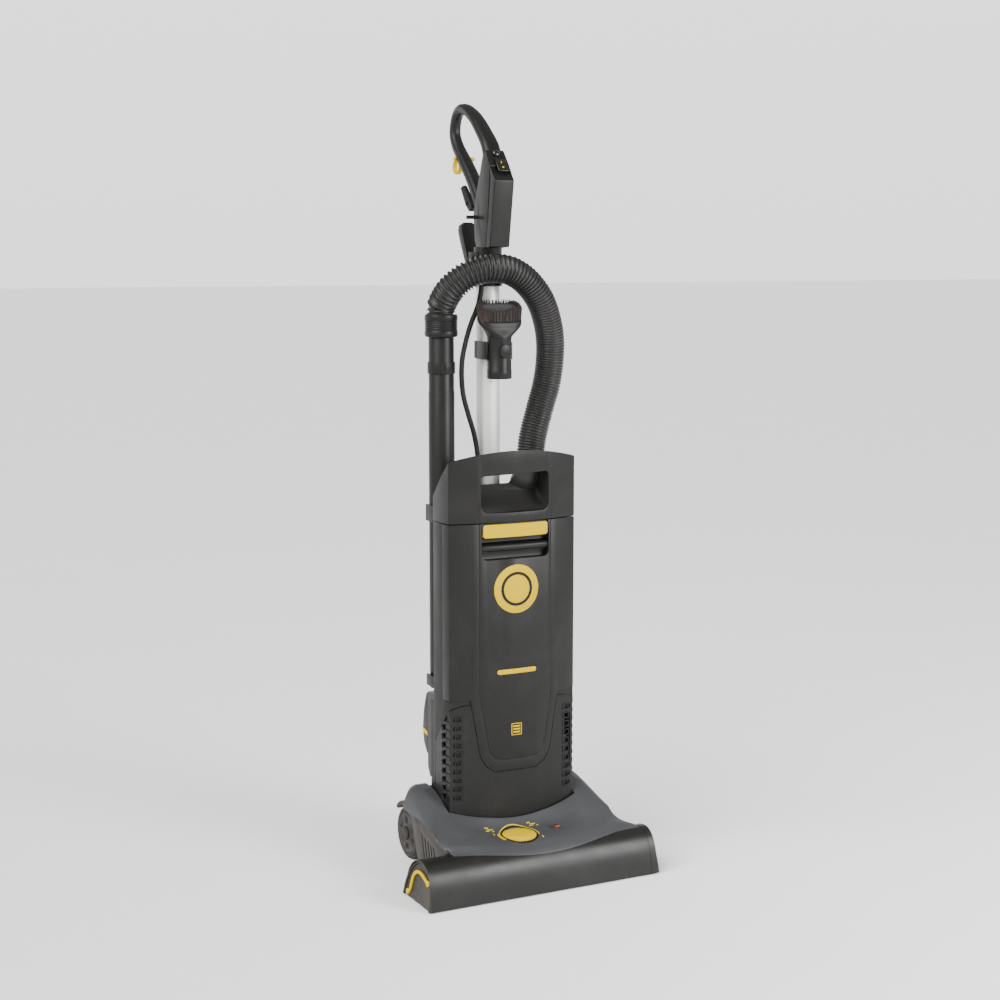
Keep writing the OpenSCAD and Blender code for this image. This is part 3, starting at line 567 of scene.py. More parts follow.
def strip_curve(x):
    """The outer strip's quarter round across: 1 at its inner edge and 0 at the rim."""
    v = min(1, max(0, (abs(x) - STRIP_X) / STRIP_W))
    return math.sqrt(max(0, 1 - v * v))


def cover_height(x, y):
    mid, flank, rim = (lookup(y, table) for table in (MID, FLANK, RIM))
    if abs(x) < GAP_X:
        return mid + (flank - mid) * max(0, (abs(x) - 50) / 63) ** 1.3
    return rim + (flank - rim) * strip_curve(x)


def front_of(x, gap=0):
    """The body's bowed front surface at x."""
    return BODY_FRONT + BOW * (x / BODY_HW) ** 2 + gap


def narrowed(x, y):
    """The cover's outer strip draws in towards the back."""
    out = max(0, abs(x) - STRIP_X)
    return math.copysign(abs(x) - 0.36 * out * smoothstep(-70, 25, y), x)


def blur(grid, rounds):
    for _ in range(rounds):
        inner = grid[1:-1, 1:-1]
        grid[1:-1, 1:-1] = 0.5 * inner + 0.125 * (grid[:-2, 1:-1] + grid[2:, 1:-1]
                                                  + grid[1:-1, :-2] + grid[1:-1, 2:])
    return grid


def cover_columns():
    """x of the cover's columns, and how many of them lie outside the gap on each side."""
    half = list(np.linspace(0, 104, 27)) + list(np.linspace(107, GAP_X, 3))
    outer = list(np.linspace(115.5, STRIP_X, 5))
    outer += [STRIP_X + STRIP_W * math.sin(math.radians(a)) for a in range(9, 91, 9)]
    return [-x for x in reversed(half[1:] + outer)] + half + outer, len(outer)


def cover_rows(x):
    """y of one column's points, from the seam on the hood to the pivot."""
    seam = -153.5 + 21 * ((x - 12) / 150) ** 2
    back = SHOULDER_FRONT
    if abs(x) < GAP_X:
        back = min(back, front_of(min(abs(x), BODY_HW), -3))
    return [*np.linspace(seam, back, FRONT_ROWS),
            *np.linspace(SHOULDER_FRONT, PIVOT_Y, FLANK_ROWS + 1)[1:]]


def cover_point(x, y):
    """Where a column's point goes sideways, and its height."""
    wide, z = narrowed(x, y), cover_height(x, y)
    if abs(x) > CORNER_X:
        start, reach, gap = CORNERS[1 if x > 0 else -1]
        drawn = smoothstep(start, -128, y) * (abs(x) - CORNER_X) / (STRIP_X + STRIP_W - CORNER_X)
        wide = x + reach * drawn ** 1.5
        z += (hood_top(y) + gap - z) * drawn
    return wide, z


def cover_grid(xs, n_outer):
    """Places and smoothed heights of the cover's points, column by column."""
    places = np.zeros((len(xs), FRONT_ROWS + FLANK_ROWS, 2))
    heights = np.zeros(places.shape[:2])
    for i, x in enumerate(xs):
        for j, y in enumerate(cover_rows(x)):
            wide, heights[i, j] = cover_point(x, y)
            places[i, j] = wide, y
    heights[:, :FRONT_ROWS] = blur(heights[:, :FRONT_ROWS].copy(), 10)
    left = blur(heights[:n_outer + 2].copy(), 4)
    right = blur(heights[-n_outer - 2:].copy(), 4)
    heights[:n_outer], heights[-n_outer:] = left[:n_outer], right[2:]
    return places, heights


def cover_skin(xs, places, heights):
    """Verts and faces of the cover's top and of the shoulders' rounded backs."""
    points = {}
    for i, x in enumerate(xs):
        shoulder = abs(x) >= GAP_X
        for j in range(FRONT_ROWS + FLANK_ROWS if shoulder else FRONT_ROWS):
            wide, y = places[i, j]
            z = max(heights[i, j], hood_top(y) + 1.4) + 0.5
            if j < SEAM_ROWS:
                rest = hood_top(y) + 1.5
                z = min(z, rest + (z - rest) * smoothstep(0, SEAM_ROWS, j))
            points[i, j] = (wide, y, z)
        if shoulder:
            r = EDGE_R + (SHOULDER_R - EDGE_R) * strip_curve(x) + 0.5
            turns = [90 * k / BACK_ROWS for k in range(1, BACK_ROWS + 1)]
            for k, (y, z) in enumerate(arc(PIVOT_Y, PIVOT_Z, r, turns)):
                points[i, FRONT_ROWS + FLANK_ROWS + k] = (narrowed(x, PIVOT_Y), y, z)
    index = {key: k for k, key in enumerate(points)}
    faces = []
    for i in range(len(xs) - 1):
        for j in range(FRONT_ROWS + FLANK_ROWS + BACK_ROWS - 1):
            quad = [(i, j), (i + 1, j), (i + 1, j + 1), (i, j + 1)]
            if all(q in index for q in quad):
                faces.append([index[q] for q in quad])
    return list(points.values()), faces


def head_shell():
    """Slate cover from the seam on the hood to the back of both shoulders, in one skin."""
    xs, n_outer = cover_columns()
    obj = raw("head_shell", *cover_skin(xs, *cover_grid(xs, n_outer)))
    modified(obj, "SOLIDIFY", thickness=COVER_T * MM, offset=-1)
    edited(obj, lambda bm: None)
    bevel(obj, 0.9, 2, 50)
    return dress(obj, "slate_plastic", "floor_head", ["head_cover"], 50)


cover = head_shell()
cover_tree = BVHTree.FromPolygons([v.co for v in cover.data.vertices],
                                  [p.vertices for p in cover.data.polygons])


def surface(x, y):
    """Height of the finished cover at a point, in millimetres."""
    return cover_tree.ray_cast(Vector((x, y, 300)) * MM, (0, 0, -1))[0].z / MM


def shoulder_walls():
    """Inner walls of the shoulders, beside the upright's flanks."""
    wall = [(-60, 62), (-60, 103), (-42, 112.5), (-18, 124.5), (8, 132.5)]
    wall += arc(PIVOT_Y, PIVOT_Z, 36.4, range(0, 91, 9)) + [(68.4, 62)]
    for side, hand in SIDES:
        dress(solid(wall, "x", *span(side, 113.4, 115.2), "shoulder_wall_" + hand),
              "slate_plastic", "floor_head")


def hood_and_caps():
    """The hood, its end caps, and the strip of the hood that laps over each cap."""
    # the hood and its edge strips take the lighter charcoal: painted light
    stands_for(copy_of("front_hood"), "front_hood", 0.5, 1, 30, smooth=24,
               finish="hood_plastic")
    section = ((186.5, -0.8), (197, -0.8), (197, 0.1), (196.6, 0.45), (186.5, 0.45))
    line = np.array([(y, hood_top(y)) for y in [*np.linspace(FRONT_Y, -150, 30),
                                                *np.linspace(-148, HOOD_REAR_Y, 50)]])
    for side, hand in SIDES:
        stands_for(copy_of("end_cap_" + hand), "end_cap_" + hand, 0.9, 2, 24)
        rings = [[(side * x, y - tz * d, z + ty * d) for x, d in section]
                 for (y, z), (ty, tz) in zip(line, directions(line))]
        dress(loft(rings, "hood_edge_" + hand), "charcoal_plastic", "floor_head", smooth=35,
              finish="hood_plastic")


PANEL = [(-66, 19), (5, 19), (9, 62), (14, 88), (27, 104.5), (20, 105), (0, 102), (-27, 99),
         (-60, 91), (-100, 80), (-124, 74), (-98, 60), (-76, 42)]
PANEL_X, PANEL_LEVEL, PANEL_LEAN = 0.151, 0.100, 0.105


def side_panels():
    """Leaning side panels with five tall slots and a dark sheet behind them, painted shade in the
    slots.
    """
    for side, hand in SIDES:
        node = "side_panel_" + hand
        panel = solid(PANEL, "x", -3, 0, node + "_shell")
        for k in range(5):
            y0 = -67 + 10.3 * k
            slot = rounded(y0, y0 + 2.8, 14, 64 + 2.5 * k, 1.2, 1.2, 3)
            cut(panel, solid(slot, "x", -6, 3))
        # black sheet behind the slots: painted shade
        shade_sheet = solid([(-70, 22), (-16, 22), (-16, 78), (-70, 70)], "x", -6.4, -5.2,
                       node + "_shade_sheet")
        for obj in (panel, shade_sheet):
            for v in obj.data.vertices:
                v.co.x = side * (PANEL_X + v.co.x - (PANEL_LEVEL - v.co.z) * PANEL_LEAN)
            cleaned(obj)
        stands_for(panel, node, 0.5)
        dress(shade_sheet, "black_rubber", "floor_head")


KNOB = (-17, -104)
KNOB_PROFILE = ((18, 75.8, 0), (26.2, 75.8, 1), (27.0, 76.4, 1), (27.0, 79.3, 1), (26.2, 80.1, 1),
                (24.4, 80.3, 0), (23.8, 80.9, 0), (22.5, 81.4, 0), (14, 81.8, 0), (1, 81.9, 0))
KNURLS, KNURL_DEPTH = 36, 0.9


def knob_disc():
    """Yellow dial with a knurled rim and a smooth crowned top."""
    n, rings = 180, []
    for r, z, knurl in KNOB_PROFILE:
        ring = []
        for k in range(n):
            a = 2 * math.pi * k / n
            rr = r - knurl * KNURL_DEPTH * (0.5 + 0.5 * math.cos(KNURLS * a)) ** 2
            ring.append((KNOB[0] + rr * math.cos(a), KNOB[1] + rr * math.sin(a), z))
        rings.append(ring)
    return dress(loft(rings, "height_dial"), "yellow_plastic", "knob", ["height_knob"], 35)


INSET = 1.2  # how deep a printed mark reaches into the cover


def printed(name, edges, slot="yellow_plastic", finish=None, lift=0.35, closed=False):
    """A thin mark that follows the cover, through pairs of points on its two long edges."""
    rings = [[(x, y, surface(x, y) + up)
              for (x, y), up in ((a, -INSET), (b, -INSET), (b, lift), (a, lift))]
             for a, b in edges]
    return dress(loft(rings, name, closed), slot, "floor_head", finish=finish)


def scale_arc(name, r0, r1, a0, a1, lift=0.35, slot="yellow_plastic"):
    """A thin arc round the dial."""
    whole = a1 - a0 >= 360
    steps = max(6, int((a1 - a0) / 5))
    turns = [math.radians(a0 + (a1 - a0) * k / steps) for k in range(steps + (not whole))]
    edges = [[(KNOB[0] + r * math.cos(a), KNOB[1] + r * math.sin(a)) for r in (r0, r1)]
             for a in turns]
    return printed(name, edges, slot, lift=lift, closed=whole)


def patch(name, x0, x1, y0, y1, **look):
    """A thin rectangle."""
    return printed(name, [[(x, y0), (x, y1)] for x in np.linspace(x0, x1, 5)], **look)


# centre, width and depth of the small marks round the dial
DIAL_MARKS = ((-60, -73.4, 7, 1.5), (-55, -76.4, 11, 1.5), (-60, -79.6, 7, 1.5),
              (-51, -80.6, 3, 2.2), (-55, -91.5, 2.2, 4), (14, -73.4, 6, 1.5),
              (20, -76.4, 10, 1.5), (17, -79.6, 7, 1.5), (27, -80.4, 2.4, 2.4),
              (14.5, -124, 2.2, 4.4))


def dial_and_lamp():
    knob_disc()
    scale_arc("dial_well", 27.5, 29.9, 0, 360, 0.5, "black_plastic")
    scale_arc("dial_scale_outer", 30.3, 32.2, -20, 158)
    scale_arc("dial_scale_band", 30.3, 34.8, 158, 202)
    for k, (x, y, w, h) in enumerate(DIAL_MARKS):
        patch("dial_mark_%d" % k, x - w / 2, x + w / 2, y - h / 2, y + h / 2)
    patch("lamp_window", 41, 57.5, -104, -90, slot="red_lens", lift=0.5)
    patch("lamp_light", 50, 57.5, -101, -97, slot="red_lens", finish="red_mark", lift=0.8)
    lamp = patch("lamp_frame", 43.5, 47.5, -97, -93, slot="red_lens", lift=0.8)
    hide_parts("indicator_window")


WHEEL_Y, WHEEL_Z = 82, 42
HUB_PROFILE = [(11, -1.5), (11, 2.6), (10, 3.9), (5, 4.5), (0, 4.6)]
DISC_PROFILE = [(10, 0), (32.5, 0), (32.5, 3.2), (30, 3.6), (27, 2.4), (17, 2.4), (15, 3.6),
                (12, 4.0), (10, 4.0)]


def wheels():
    """Wheels with a disc of six recesses and a hub cap."""
    for side, hand in SIDES:
        stands_for(copy_of("wheel_" + hand), "wheel_" + hand, 0.9, 2)
        hub = turned(HUB_PROFILE, (0, 0, 0), "x", 40, "hub_cap_" + hand)
        dress(mirrored_to(hub, side, 128, WHEEL_Y, WHEEL_Z), "grey_rubber", "rear_wheel_" + hand)
        disc = turned(DISC_PROFILE, (0, 0, 0), "x", 60, "wheel_disc_" + hand)
        for k in range(6):
            a = math.radians(60 * k + 20)
            recess = [(22.5 * math.cos(a + w) * f, 22.5 * math.sin(a + w) * f)
                      for f, w in ((0.84, -0.2), (1.14, -0.2), (1.14, 0.2), (0.84, 0.2))]
            cut(disc, solid(recess, "x", 1.2, 6))
        mirrored_to(disc, side, 124.6, WHEEL_Y, WHEEL_Z)
        bevel(disc, 0.3, 1, 40)
        dress(disc, "stone_plastic", "rear_wheel_" + hand)


shoulder_walls()
hood_and_caps()
side_panels()
dial_and_lamp()
wheels()

# ---- body -----------------------------------------------------------------------

DOOR_TOP = 567
SCOOP_W = 60  # half the width of the carrying handle's opening
GROOVE_X = 63


def body_plan(n=24):
    """The body's outline from above: bowed front, straight flanks."""
    w = BODY_HW
    front = [(w * i / n, BODY_FRONT + BOW * (i / n) ** 2) for i in range(-n, n + 1)]
    return front + [(w + 2.5, -26), (w + 2, 8), (-w - 2, 8), (-w - 2.5, -26)]


def groove(obj, line, width=1.0, depth=1.0):
    """Cuts a line of (x, z) points into the body's bowed front."""
    pts, _ = resampled(np.array(line, float), 4)
    rings = []
    for (x, z), (tx, tz) in zip(pts, directions(pts)):
        ring = []
        for w, d in ((-width, -1.5), (width, -1.5), (0, depth)):
            px, pz = x - tz * w, z + tx * w
            ring.append((px, front_of(px, d), pz))
        rings.append(ring)
    return cut(obj, loft(rings))


def cover_envelope():
    """The top cover's outer form, without its opening."""
    arch = [(120, 500), (120, 655)] + [(x, 678 - 14 * (x / 108) ** 2)
                                       for x in np.linspace(108, -108, 31)]
    arch += [(-120, 655), (-120, 500)]
    side = [(-70, DOOR_TOP + 0.5), (20, DOOR_TOP + 0.5), (20, 592), (-45, 663), (-63, 683)]
    hull = solid(body_plan(), "z", 540, 700, "top_cover_shell")
    cut(hull, solid(side, "x", -130, 130), "INTERSECT")
    return cut(hull, solid(arch, "y", -90, 60), "INTERSECT")


def scoop():
    """The carrying handle's opening: its floor sags in front and rises to the back."""
    floor_line = [(-80, 582), (-64, 582.3), (-54, 584), (-44, 587.5), (-34, 592.5), (-26, 599),
                  (-19, 607.5), (-13, 615.5), (-8, 620.2), (-3, 622.2), (4, 622.6), (30, 622.6)]
    rings = []
    for y, low in floor_line:
        deep = smoothstep(-62, 6, y)
        ring = rounded(-60 + 2 * deep, 58 - 2 * deep, low, 643.5 - 1.5 * deep, 11 - 3 * deep, 7, 8)
        sag = 3.2 * (1 - smoothstep(-60, -20, y))
        rings.append([(x, y, z - (sag * (1 - (x / SCOOP_W) ** 2) if z < low + 4 else 0)
                       - (3.4 * smoothstep(-20, -60, x) if z > 630 else 0)) for x, z in ring])
    return loft(rings)


def hose_bulge():
    """The rounded lump behind the opening that makes room for the hose's port."""
    bulge = cover_envelope()
    rings = []
    for k in range(1, 24):
        a = math.pi * k / 24
        rings.append([(44 + 41 * math.sin(a) * math.cos(w), 14 + 43 * math.sin(a) * math.sin(w),
                       642 - 48 * math.cos(a))
                      for w in np.linspace(0, 2 * math.pi, 40, endpoint=False)])
    cut(bulge, loft(rings), "INTERSECT")
    return cut(bulge, solid(rect(-8, 56.5, 560, 646), "y", -60, 7.2), "INTERSECT")


def top_cover():
    top = cover_envelope()
    bevel(top, 2.0, 3, 26)
    cut(top, scoop())
    cut(top, hose_bulge(), "UNION")
    for x in (-GROOVE_X, GROOVE_X):
        groove(top, [(x, DOOR_TOP), (x * 1.005, 600)], 0.5, 0.5)
    stands_for(top, "top_cover", 1.2, 2, 38, 34)
    # faces inside the handle's opening get the lighter grey: painted light
    painted(top, "scoop_grey",
            lambda x, y, z: abs(x) < 62 and 575 < z < 648 and y > front_of(x, 2.2))


def door():
    """The bag door, with the recess and the roll under its latch and its two seams."""
    obj = copy_of("bag_door")
    cut(obj, solid(rect(-60, 60, 509, 543.4), "y", -56, -41), "UNION")
    cut(obj, solid(rounded(-58.5, 58.5, 508.5, 552, 9, 1), "y", -80, -43.5))
    roll = [[(x, front_of(x, 5.5) * 0.9 + 5.6 * math.cos(w) - 3.4, 527 + 6 * math.sin(w))
             for w in np.linspace(0, 2 * math.pi, 20, endpoint=False)]
            for x in np.linspace(-58, 58, 30)]
    cut(obj, loft(roll), "UNION")
    shelf = [(-50, 520), (-44, 519), (-43, 535), (-50, 532)]
    cut(obj, solid(shelf, "x", -58, 58), "UNION")
    for x in (-GROOVE_X, GROOVE_X):
        groove(obj, [(x, DOOR_TOP - 1), (x, 292)], 0.55, 0.55)
    groove(obj, [(-61, 290), (-56, 262), (-50, 226), (-46, 206), (-41, 196), (-33, 190.5),
                 (-20, 188.5), (0, 188), (20, 188.5), (34, 190), (43, 194), (49, 203),
                 (53, 222), (59, 258), (64, 291)], 0.8, 0.9)
    return stands_for(obj, "bag_door", 0.9, 2, 34, 30)


BEND_STEP = 0.004  # spacing in metres of the cuts at which a flat plate bends


def bowed(name, outline, low, high, slot, body, replaces=(), edge=0.5, finish=None):
    """A plate that follows the bowed front; low and high are heights above its surface."""
    def bend(bm):
        xs = [v.co.x for v in bm.verts]
        sliced(bm, np.arange(min(xs) + BEND_STEP, max(xs) - 0.001, BEND_STEP))
        for v in bm.verts:
            v.co.y = (front_of(v.co.x / MM) - (high if v.co.y < 0.0005 else low)) * MM

    obj = edited(solid(outline, "y", 0, 1, name), bend)
    if edge:
        bevel(obj, edge, 2, 40)
    return dress(obj, slot, body, replaces, 40, finish)


def latch_bar():
    """Yellow latch over the top of the door, slightly bowed."""
    def bend(bm):
        sliced(bm, np.arange(-0.052, 0.054, BEND_STEP))
        for v in bm.verts:
            if v.co.y < -0.06:
                v.co.y = (BODY_FRONT - 0.5 + 4 * (v.co.x / 0.056) ** 2) * MM

    latch = edited(solid(rounded(-56, 56, 543.5, 564, 4.5, 4, 6), "y", -64, -52.5, "latch_bar"),
                   bend)
    bevel(latch, 2.4, 4, 45)
    dress(latch, "yellow_plastic", "latch", ["door_latch"], 40)


EMBLEM_Z = 461


def door_marks():
    """Plain shapes where the door carries printing: a ringed disc, a bar and a small block."""
    bowed("emblem_disc", circle(0, EMBLEM_Z, 38.5), -0.4, 0.7, "yellow_plastic", "door")
    ring = bowed("emblem_ring", circle(0, EMBLEM_Z, 27), 0.4, 1.1, "black_plastic", "door", edge=0)
    cut(ring, solid(circle(0, EMBLEM_Z, 22.5), "y", -80, -50))
    dress(ring, "black_plastic", "door", smooth=40)
    bowed("door_bar", rounded(-33, 35, 326, 333.5, 3.2), -0.4, 0.5, "yellow_plastic", "door",
          edge=0.2)
    for k, bar in enumerate(((-9, 9, 244.4, 245.6), (-9, 9, 226.4, 227.6),
                             (-9, -7.8, 226.4, 245.6), (7.8, 9, 226.4, 245.6),
                             (-6, 6, 239.4, 242), (-6, 6, 234.8, 237.2), (-6, 6, 230, 232.6))):
        bowed("door_label_%d" % k, rect(*bar), -0.4, 0.4, "yellow_plastic", "door", edge=0)


VENTS, VENT_PITCH, VENT_Z = 10, 14, 129


def shaded_slot_floor(x, y, z):
    """Whether a point lies on the floor of a cooling slot, in front or at the corner; these faces
    are painted black, painted shade.
    """
    if not 126 < z < 275 or abs(x) < 88:
        return False
    in_front = abs(x) < 108.6 and front_of(x, 1.2) < y < front_of(x, 2.6)
    return in_front or (106 < abs(x) < 110.7 and y > -45)


def motor_housing():
    """The motor's cover with a column of slots round each front corner; the slots' floors and the
    plates behind the corner slots are black, painted shade.
    """
    for side, hand in SIDES:
        x0, x1 = span(side, 60, 108)
        bowed("seam_backing_" + hand[0], rect(x0, x1, 250, 300), -4.2, -2.6, "charcoal_plastic",
              "upright", edge=0)
    shell = copy_of("motor_cover")
    for side, _ in SIDES:
        for k in range(VENTS):
            z = VENT_Z + VENT_PITCH * k
            cut(shell, solid(rect(-46, -24, z, z + 7.6), "x", *span(side, 109, 118)))
    stands_for(shell, "motor_cover", 0.5, 1, 34, 26)
    # floors of the slots painted black: painted shade
    painted(shell, "black_plastic", shaded_slot_floor)
    # black plates behind the corner slots: painted shade inside the body, and they close the view
    # through
    for side, hand in SIDES:
        backing = solid(rect(-38.5, 30, 122, 274), "x", *span(side, 105.2, 107),
                        "vent_backing_" + hand)
        dress(backing, "black_plastic", "upright")


def slot_frames():
    """Raised frames round the front cooling slots."""
    for side, hand in SIDES:
        for k in range(VENTS):
            x0, x1 = span(side, 88.6, 101.2)
            z0 = VENT_Z - 1.4 + VENT_PITCH * k
            obj = bowed("slot_frame_%s_%d" % (hand[0], k), rect(x0, x1, z0, z0 + 10.4), -0.6, 0.9,
                        "charcoal_plastic", "upright", edge=0)
            cut(obj, solid(rect(x0 + 1.5, x1 - 1.5, z0 + 1.9, z0 + 8.5), "y", -90, -20))
            bevel(obj, 0.35, 1, 40)
            dress(obj, "charcoal_plastic", "upright")


def rear_of_body():
    stands_for(copy_of("main_housing"), "main_housing", 1.2, 2, 34)
    stands_for(copy_of("exhaust_cover"), "exhaust_cover", 2.4, 3, 25)
    mark = solid([(55, 209), (71, 212), (71, 219), (55, 216)], "x", -102.5, -101, "cover_mark")
    dress(mark, "yellow_plastic", "filter_cover")


top_cover()
door()
latch_bar()
door_marks()
motor_housing()
slot_frames()
rear_of_body()

# ---- handle ---------------------------------------------------------------------

FRONT_LOW, FRONT_BACK, FRONT_SLOPE = 989, 11.5, 0.128
SWITCH_AT, SWITCH_TILT = (3, -1, 1113), 50
BOLT_AT = (0, 11.4, 1127.8)


def handle_front():
    """The handle's front cover, rounded along its outer edges only, and its joint."""
    front = copy_of("handle_front")
    weight = front.data.attributes.new("bevel_weight_edge", "FLOAT", "EDGE")
    for edge in front.data.edges:
        ends = [front.data.vertices[k].co / MM for k in edge.vertices]
        depth = max(v.y - (FRONT_BACK - FRONT_SLOPE * (v.z - FRONT_LOW)) for v in ends)
        outer_edge = depth < -4 and all(abs(v.x) > 16.5 for v in ends)
        weight.data[edge.index].value = 1.0 if outer_edge else 0.0
    modified(front, "BEVEL", width=3.6 * MM, segments=3, limit_method="WEIGHT")
    stands_for(front, "handle_front", 0, smooth=50)
    joint = solid([(8.3, 990.5), (15, 990.5), (0, 1104), (-6.7, 1104)], "x", -16.6, 16.6,
                  "handle_joint")
    dress(joint, "charcoal_plastic", "upright")


def at_switch(obj, at=SWITCH_AT):
    """Moves a part from the switch's own plane to the slanted face below the grip."""
    tilt = Matrix.Rotation(math.radians(SWITCH_TILT), 4, "X")
    obj.data.transform(Matrix.Translation(Vector(at) * MM) @ tilt)
    return obj


def switch_and_bolt():
    """Marks on the switch, and the grip's bolt in its half-round recess."""
    stands_for(copy_of("rocker_switch"), "rocker_switch", 0.9, 2)
    for name, outline in (("switch_mark_on", rect(-0.6, 0.6, 3, 7)),
                          ("switch_mark_off", circle(0, -5, 1.6, 24))):
        mark = at_switch(solid(outline, "z", 3.9, 4.35, name))
        dress(mark, "yellow_plastic", "switch")
    half_moon = [(13 * math.cos(a), 12 * math.sin(a)) for a in np.linspace(0, math.pi, 28)]
    moon = at_switch(solid(half_moon, "z", -1.5, 0.5, "bolt_recess"), BOLT_AT)
    bevel(moon, 0.5, 2, 40)
    dress(moon, "charcoal_plastic", "upright", finish="smoke_grey")
    bolt = turned([(6.2, 0), (6.2, 3.6), (5.6, 5.4), (4, 6.8), (2, 7.6), (0, 7.8)], (0, 0, 0),
                  "z", 32, "grip_bolt_dome")
    bolt.data.transform(Matrix.Translation((0, 0.0048, 0)))
    dress(at_switch(bolt, BOLT_AT), "gloss_black", "upright", ["grip_bolt"])


stands_for(copy_of("handle_box"), "handle_box", 2.2, 3, 28)
handle_front()
pin = turned([(2.4, -13), (3.2, -12), (3.2, 22), (2.4, 23)], (0, 137, 1130), "x", 24,
             "cord_clip_pin")
dress(pin, "yellow_plastic", "upright")
switch_and_bolt()

# ---- hose cuff, wand and dusting brush -------------------------------------------

WAND = (-82, 39)
TOOL = (-4, -8)
BRISTLE_TOP = 904


def ribbed(low, high, r, depth, pitch):
    """Profile of a turned grip with rounded ribs."""
    out = []
    for h in np.arange(low, high + 0.01, pitch / 8):
        out.append((r - depth * (0.5 + 0.5 * math.cos(2 * math.pi * (h - low) / pitch)), h))
    return out


def cuff_and_wand():
    profile = [(22.5, 851), (24, 851), (25.4, 852), (26, 854), (26, 861)]
    profile += ribbed(862, 876, 26, 1.0, 3.5)
    profile += [(26, 877), (26, 883), (25.2, 885.4), (23.5, 886), (12, 886)]
    cuff = turned(profile, (*WAND, 0), "z", 56, "hose_cuff_ribbed")
    dress(cuff, "black_plastic", "wand", ["hose_cuff"], 50)
    upper = copy_of("wand_upper")
    lug = solid(rounded(WAND[0] - 4, WAND[0] + 4, 797, 809, 3), "y", WAND[1] - 23.2,
                WAND[1] + 23.2)
    cut(upper, lug, "UNION")
    stands_for(upper, "wand_upper", 0.7, 2, 34)
    stands_for(copy_of("wand_lower"), "wand_lower", 0.7, 2, 34)


def oval(half_w, half_d, z, n=64):
    """A stadium-shaped ring round the brush's axis."""
    out = []
    for k in range(n):
        a = 2 * math.pi * k / n
        c, s = math.cos(a), math.sin(a)
        flat = max(0, half_w - half_d)
        out.append((TOOL[0] + half_d * c + flat * math.tanh(3 * c) / math.tanh(3),
                    TOOL[1] + half_d * s, z))
    return out


def tilted(x, y, z):
    """Slants the brush's mouth towards the front."""
    return x, y, z + (0.62 * (y - TOOL[1]) - 3.4) * smoothstep(846, 880, z)


def brush_body():
    """Hollow body: round shank below, wide slanted mouth above; rings (width, depth, z)."""
    outer = [(16.4, 16.4, 786.0), (18.6, 18.6, 786.2), (19.4, 19.4, 787.5), (19.4, 19.4, 800),
             (18.8, 18.8, 801), (18.8, 18.8, 846), (19.4, 19.2, 852), (23, 18.6, 858),
             (28.5, 17.4, 866), (33.5, 16.2, 873), (36.2, 15.2, 877), (37, 15, 879),
             (37, 15, 885.0), (36.4, 14.4, 886), (34.6, 12.8, 886.2)]
    inner = [(33.8, 12.2, 885.4), (33, 11.8, 880), (24, 11.6, 866), (13, 12, 852),
             (12, 12, 828), (16, 16, 826), (16, 16, 787)]
    rings = [[tilted(*q) for q in oval(*size)] for size in outer + inner]
    dress(loft(rings, "dusting_brush_body", True), "black_plastic", "brush_tool",
          ["dusting_brush"], 40)


def strand(verts, faces, foot, tip, r, turn):
    """Adds one thin four-sided strand that tapers from foot to tip."""
    base = len(verts)
    middle = ((foot[0] + tip[0]) / 2, (foot[1] + tip[1]) / 2, 894)
    for (cx, cy, cz), q in ((foot, r), (middle, r), (tip, r * 0.55)):
        for k in range(4):
            a = turn + math.pi * k / 2
            verts.append(tilted(cx + q * math.cos(a), cy + q * math.sin(a), cz))
    for i in range(2):
        for k in range(4):
            j = (k + 1) % 4
            faces.append((base + 4 * i + k, base + 4 * i + j, base + 4 * i + 4 + j,
                          base + 4 * i + 4 + k))
    faces.append((base + 3, base + 2, base + 1, base))
    faces.append((base + 8, base + 9, base + 10, base + 11))


def bristles():
    """Strands in three rows round a hollow middle, leaning slightly outwards."""
    rng = random.Random(7)
    verts, faces = [], []
    for row, inset in enumerate((1.6, 3.6, 5.6)):
        for x, y, _ in oval(36.4 - inset, 14.4 - inset, 0, n=96 - 12 * row):
            for _ in range(3):
                bx, by = x + rng.uniform(-0.9, 0.9), y + rng.uniform(-0.9, 0.9)
                dx, dy = (bx - TOOL[0]) * 0.05, (by - TOOL[1]) * 0.05
                tx = bx + dx + rng.uniform(-0.9, 0.9)
                ty = by + dy + rng.uniform(-0.9, 0.9)
                top = BRISTLE_TOP + rng.uniform(-1.8, 1.2)
                strand(verts, faces, (bx, by, 883), (tx, ty, top), rng.uniform(0.55, 0.8),
                       rng.uniform(0, 2))
    dress(raw("brush_strands", verts, faces), "brown_bristle", "brush_tool",
          ["brush_bristles"], 60)


def brush_core():
    """Dark ring between the strands, which closes the view into the brush."""
    section = ((2.6, 882), (2.6, 890), (2.8, 899.5), (6.8, 899.5), (7.2, 890), (7.0, 882))
    core = loft([[tilted(*q) for q in oval(36.4 - inset, 14.4 - inset, z)]
                 for inset, z in section], "brush_core", True)
    dress(core, "brown_bristle", "brush_tool", finish="black_bristle")


def brush_clip():
    stands_for(copy_of("brush_clip"), "brush_clip", 1.0, 2, 30)
    tab = solid(rounded(TOOL[0] - 9, TOOL[0] + 9, 819, 840, 8, 8), "y", -30.2, -25.5,
                "clip_tab")
    bevel(tab, 0.8, 2, 40)
    dress(tab, "black_plastic", "brush_tool")


cuff_and_wand()
brush_body()
bristles()
brush_core()
brush_clip()

# ---- shoulders, drum and everything else that keeps its CAD shape -------------------

DRUM_TOP = 135
# width in millimetres of the rounding on the remaining pieces' edges
EDGES = {
    "brush_lever": 0.9, "foot_pedal": 1.0,
    "rear_spine": 2.0, "wand_clips": 1.2, "hose_port": 2.0,
    "pole": 0.3, "cord_inlet": 0.8, "cord_clip": 0.8, "cord_hook": 2.4,
    "lower_cord_hook": 2.0, "roller_carriage": 0.6, "caster_left": 0.9, "caster_right": 0.9,
    "base_plate": 0.6, "handle_loop": 0,
}


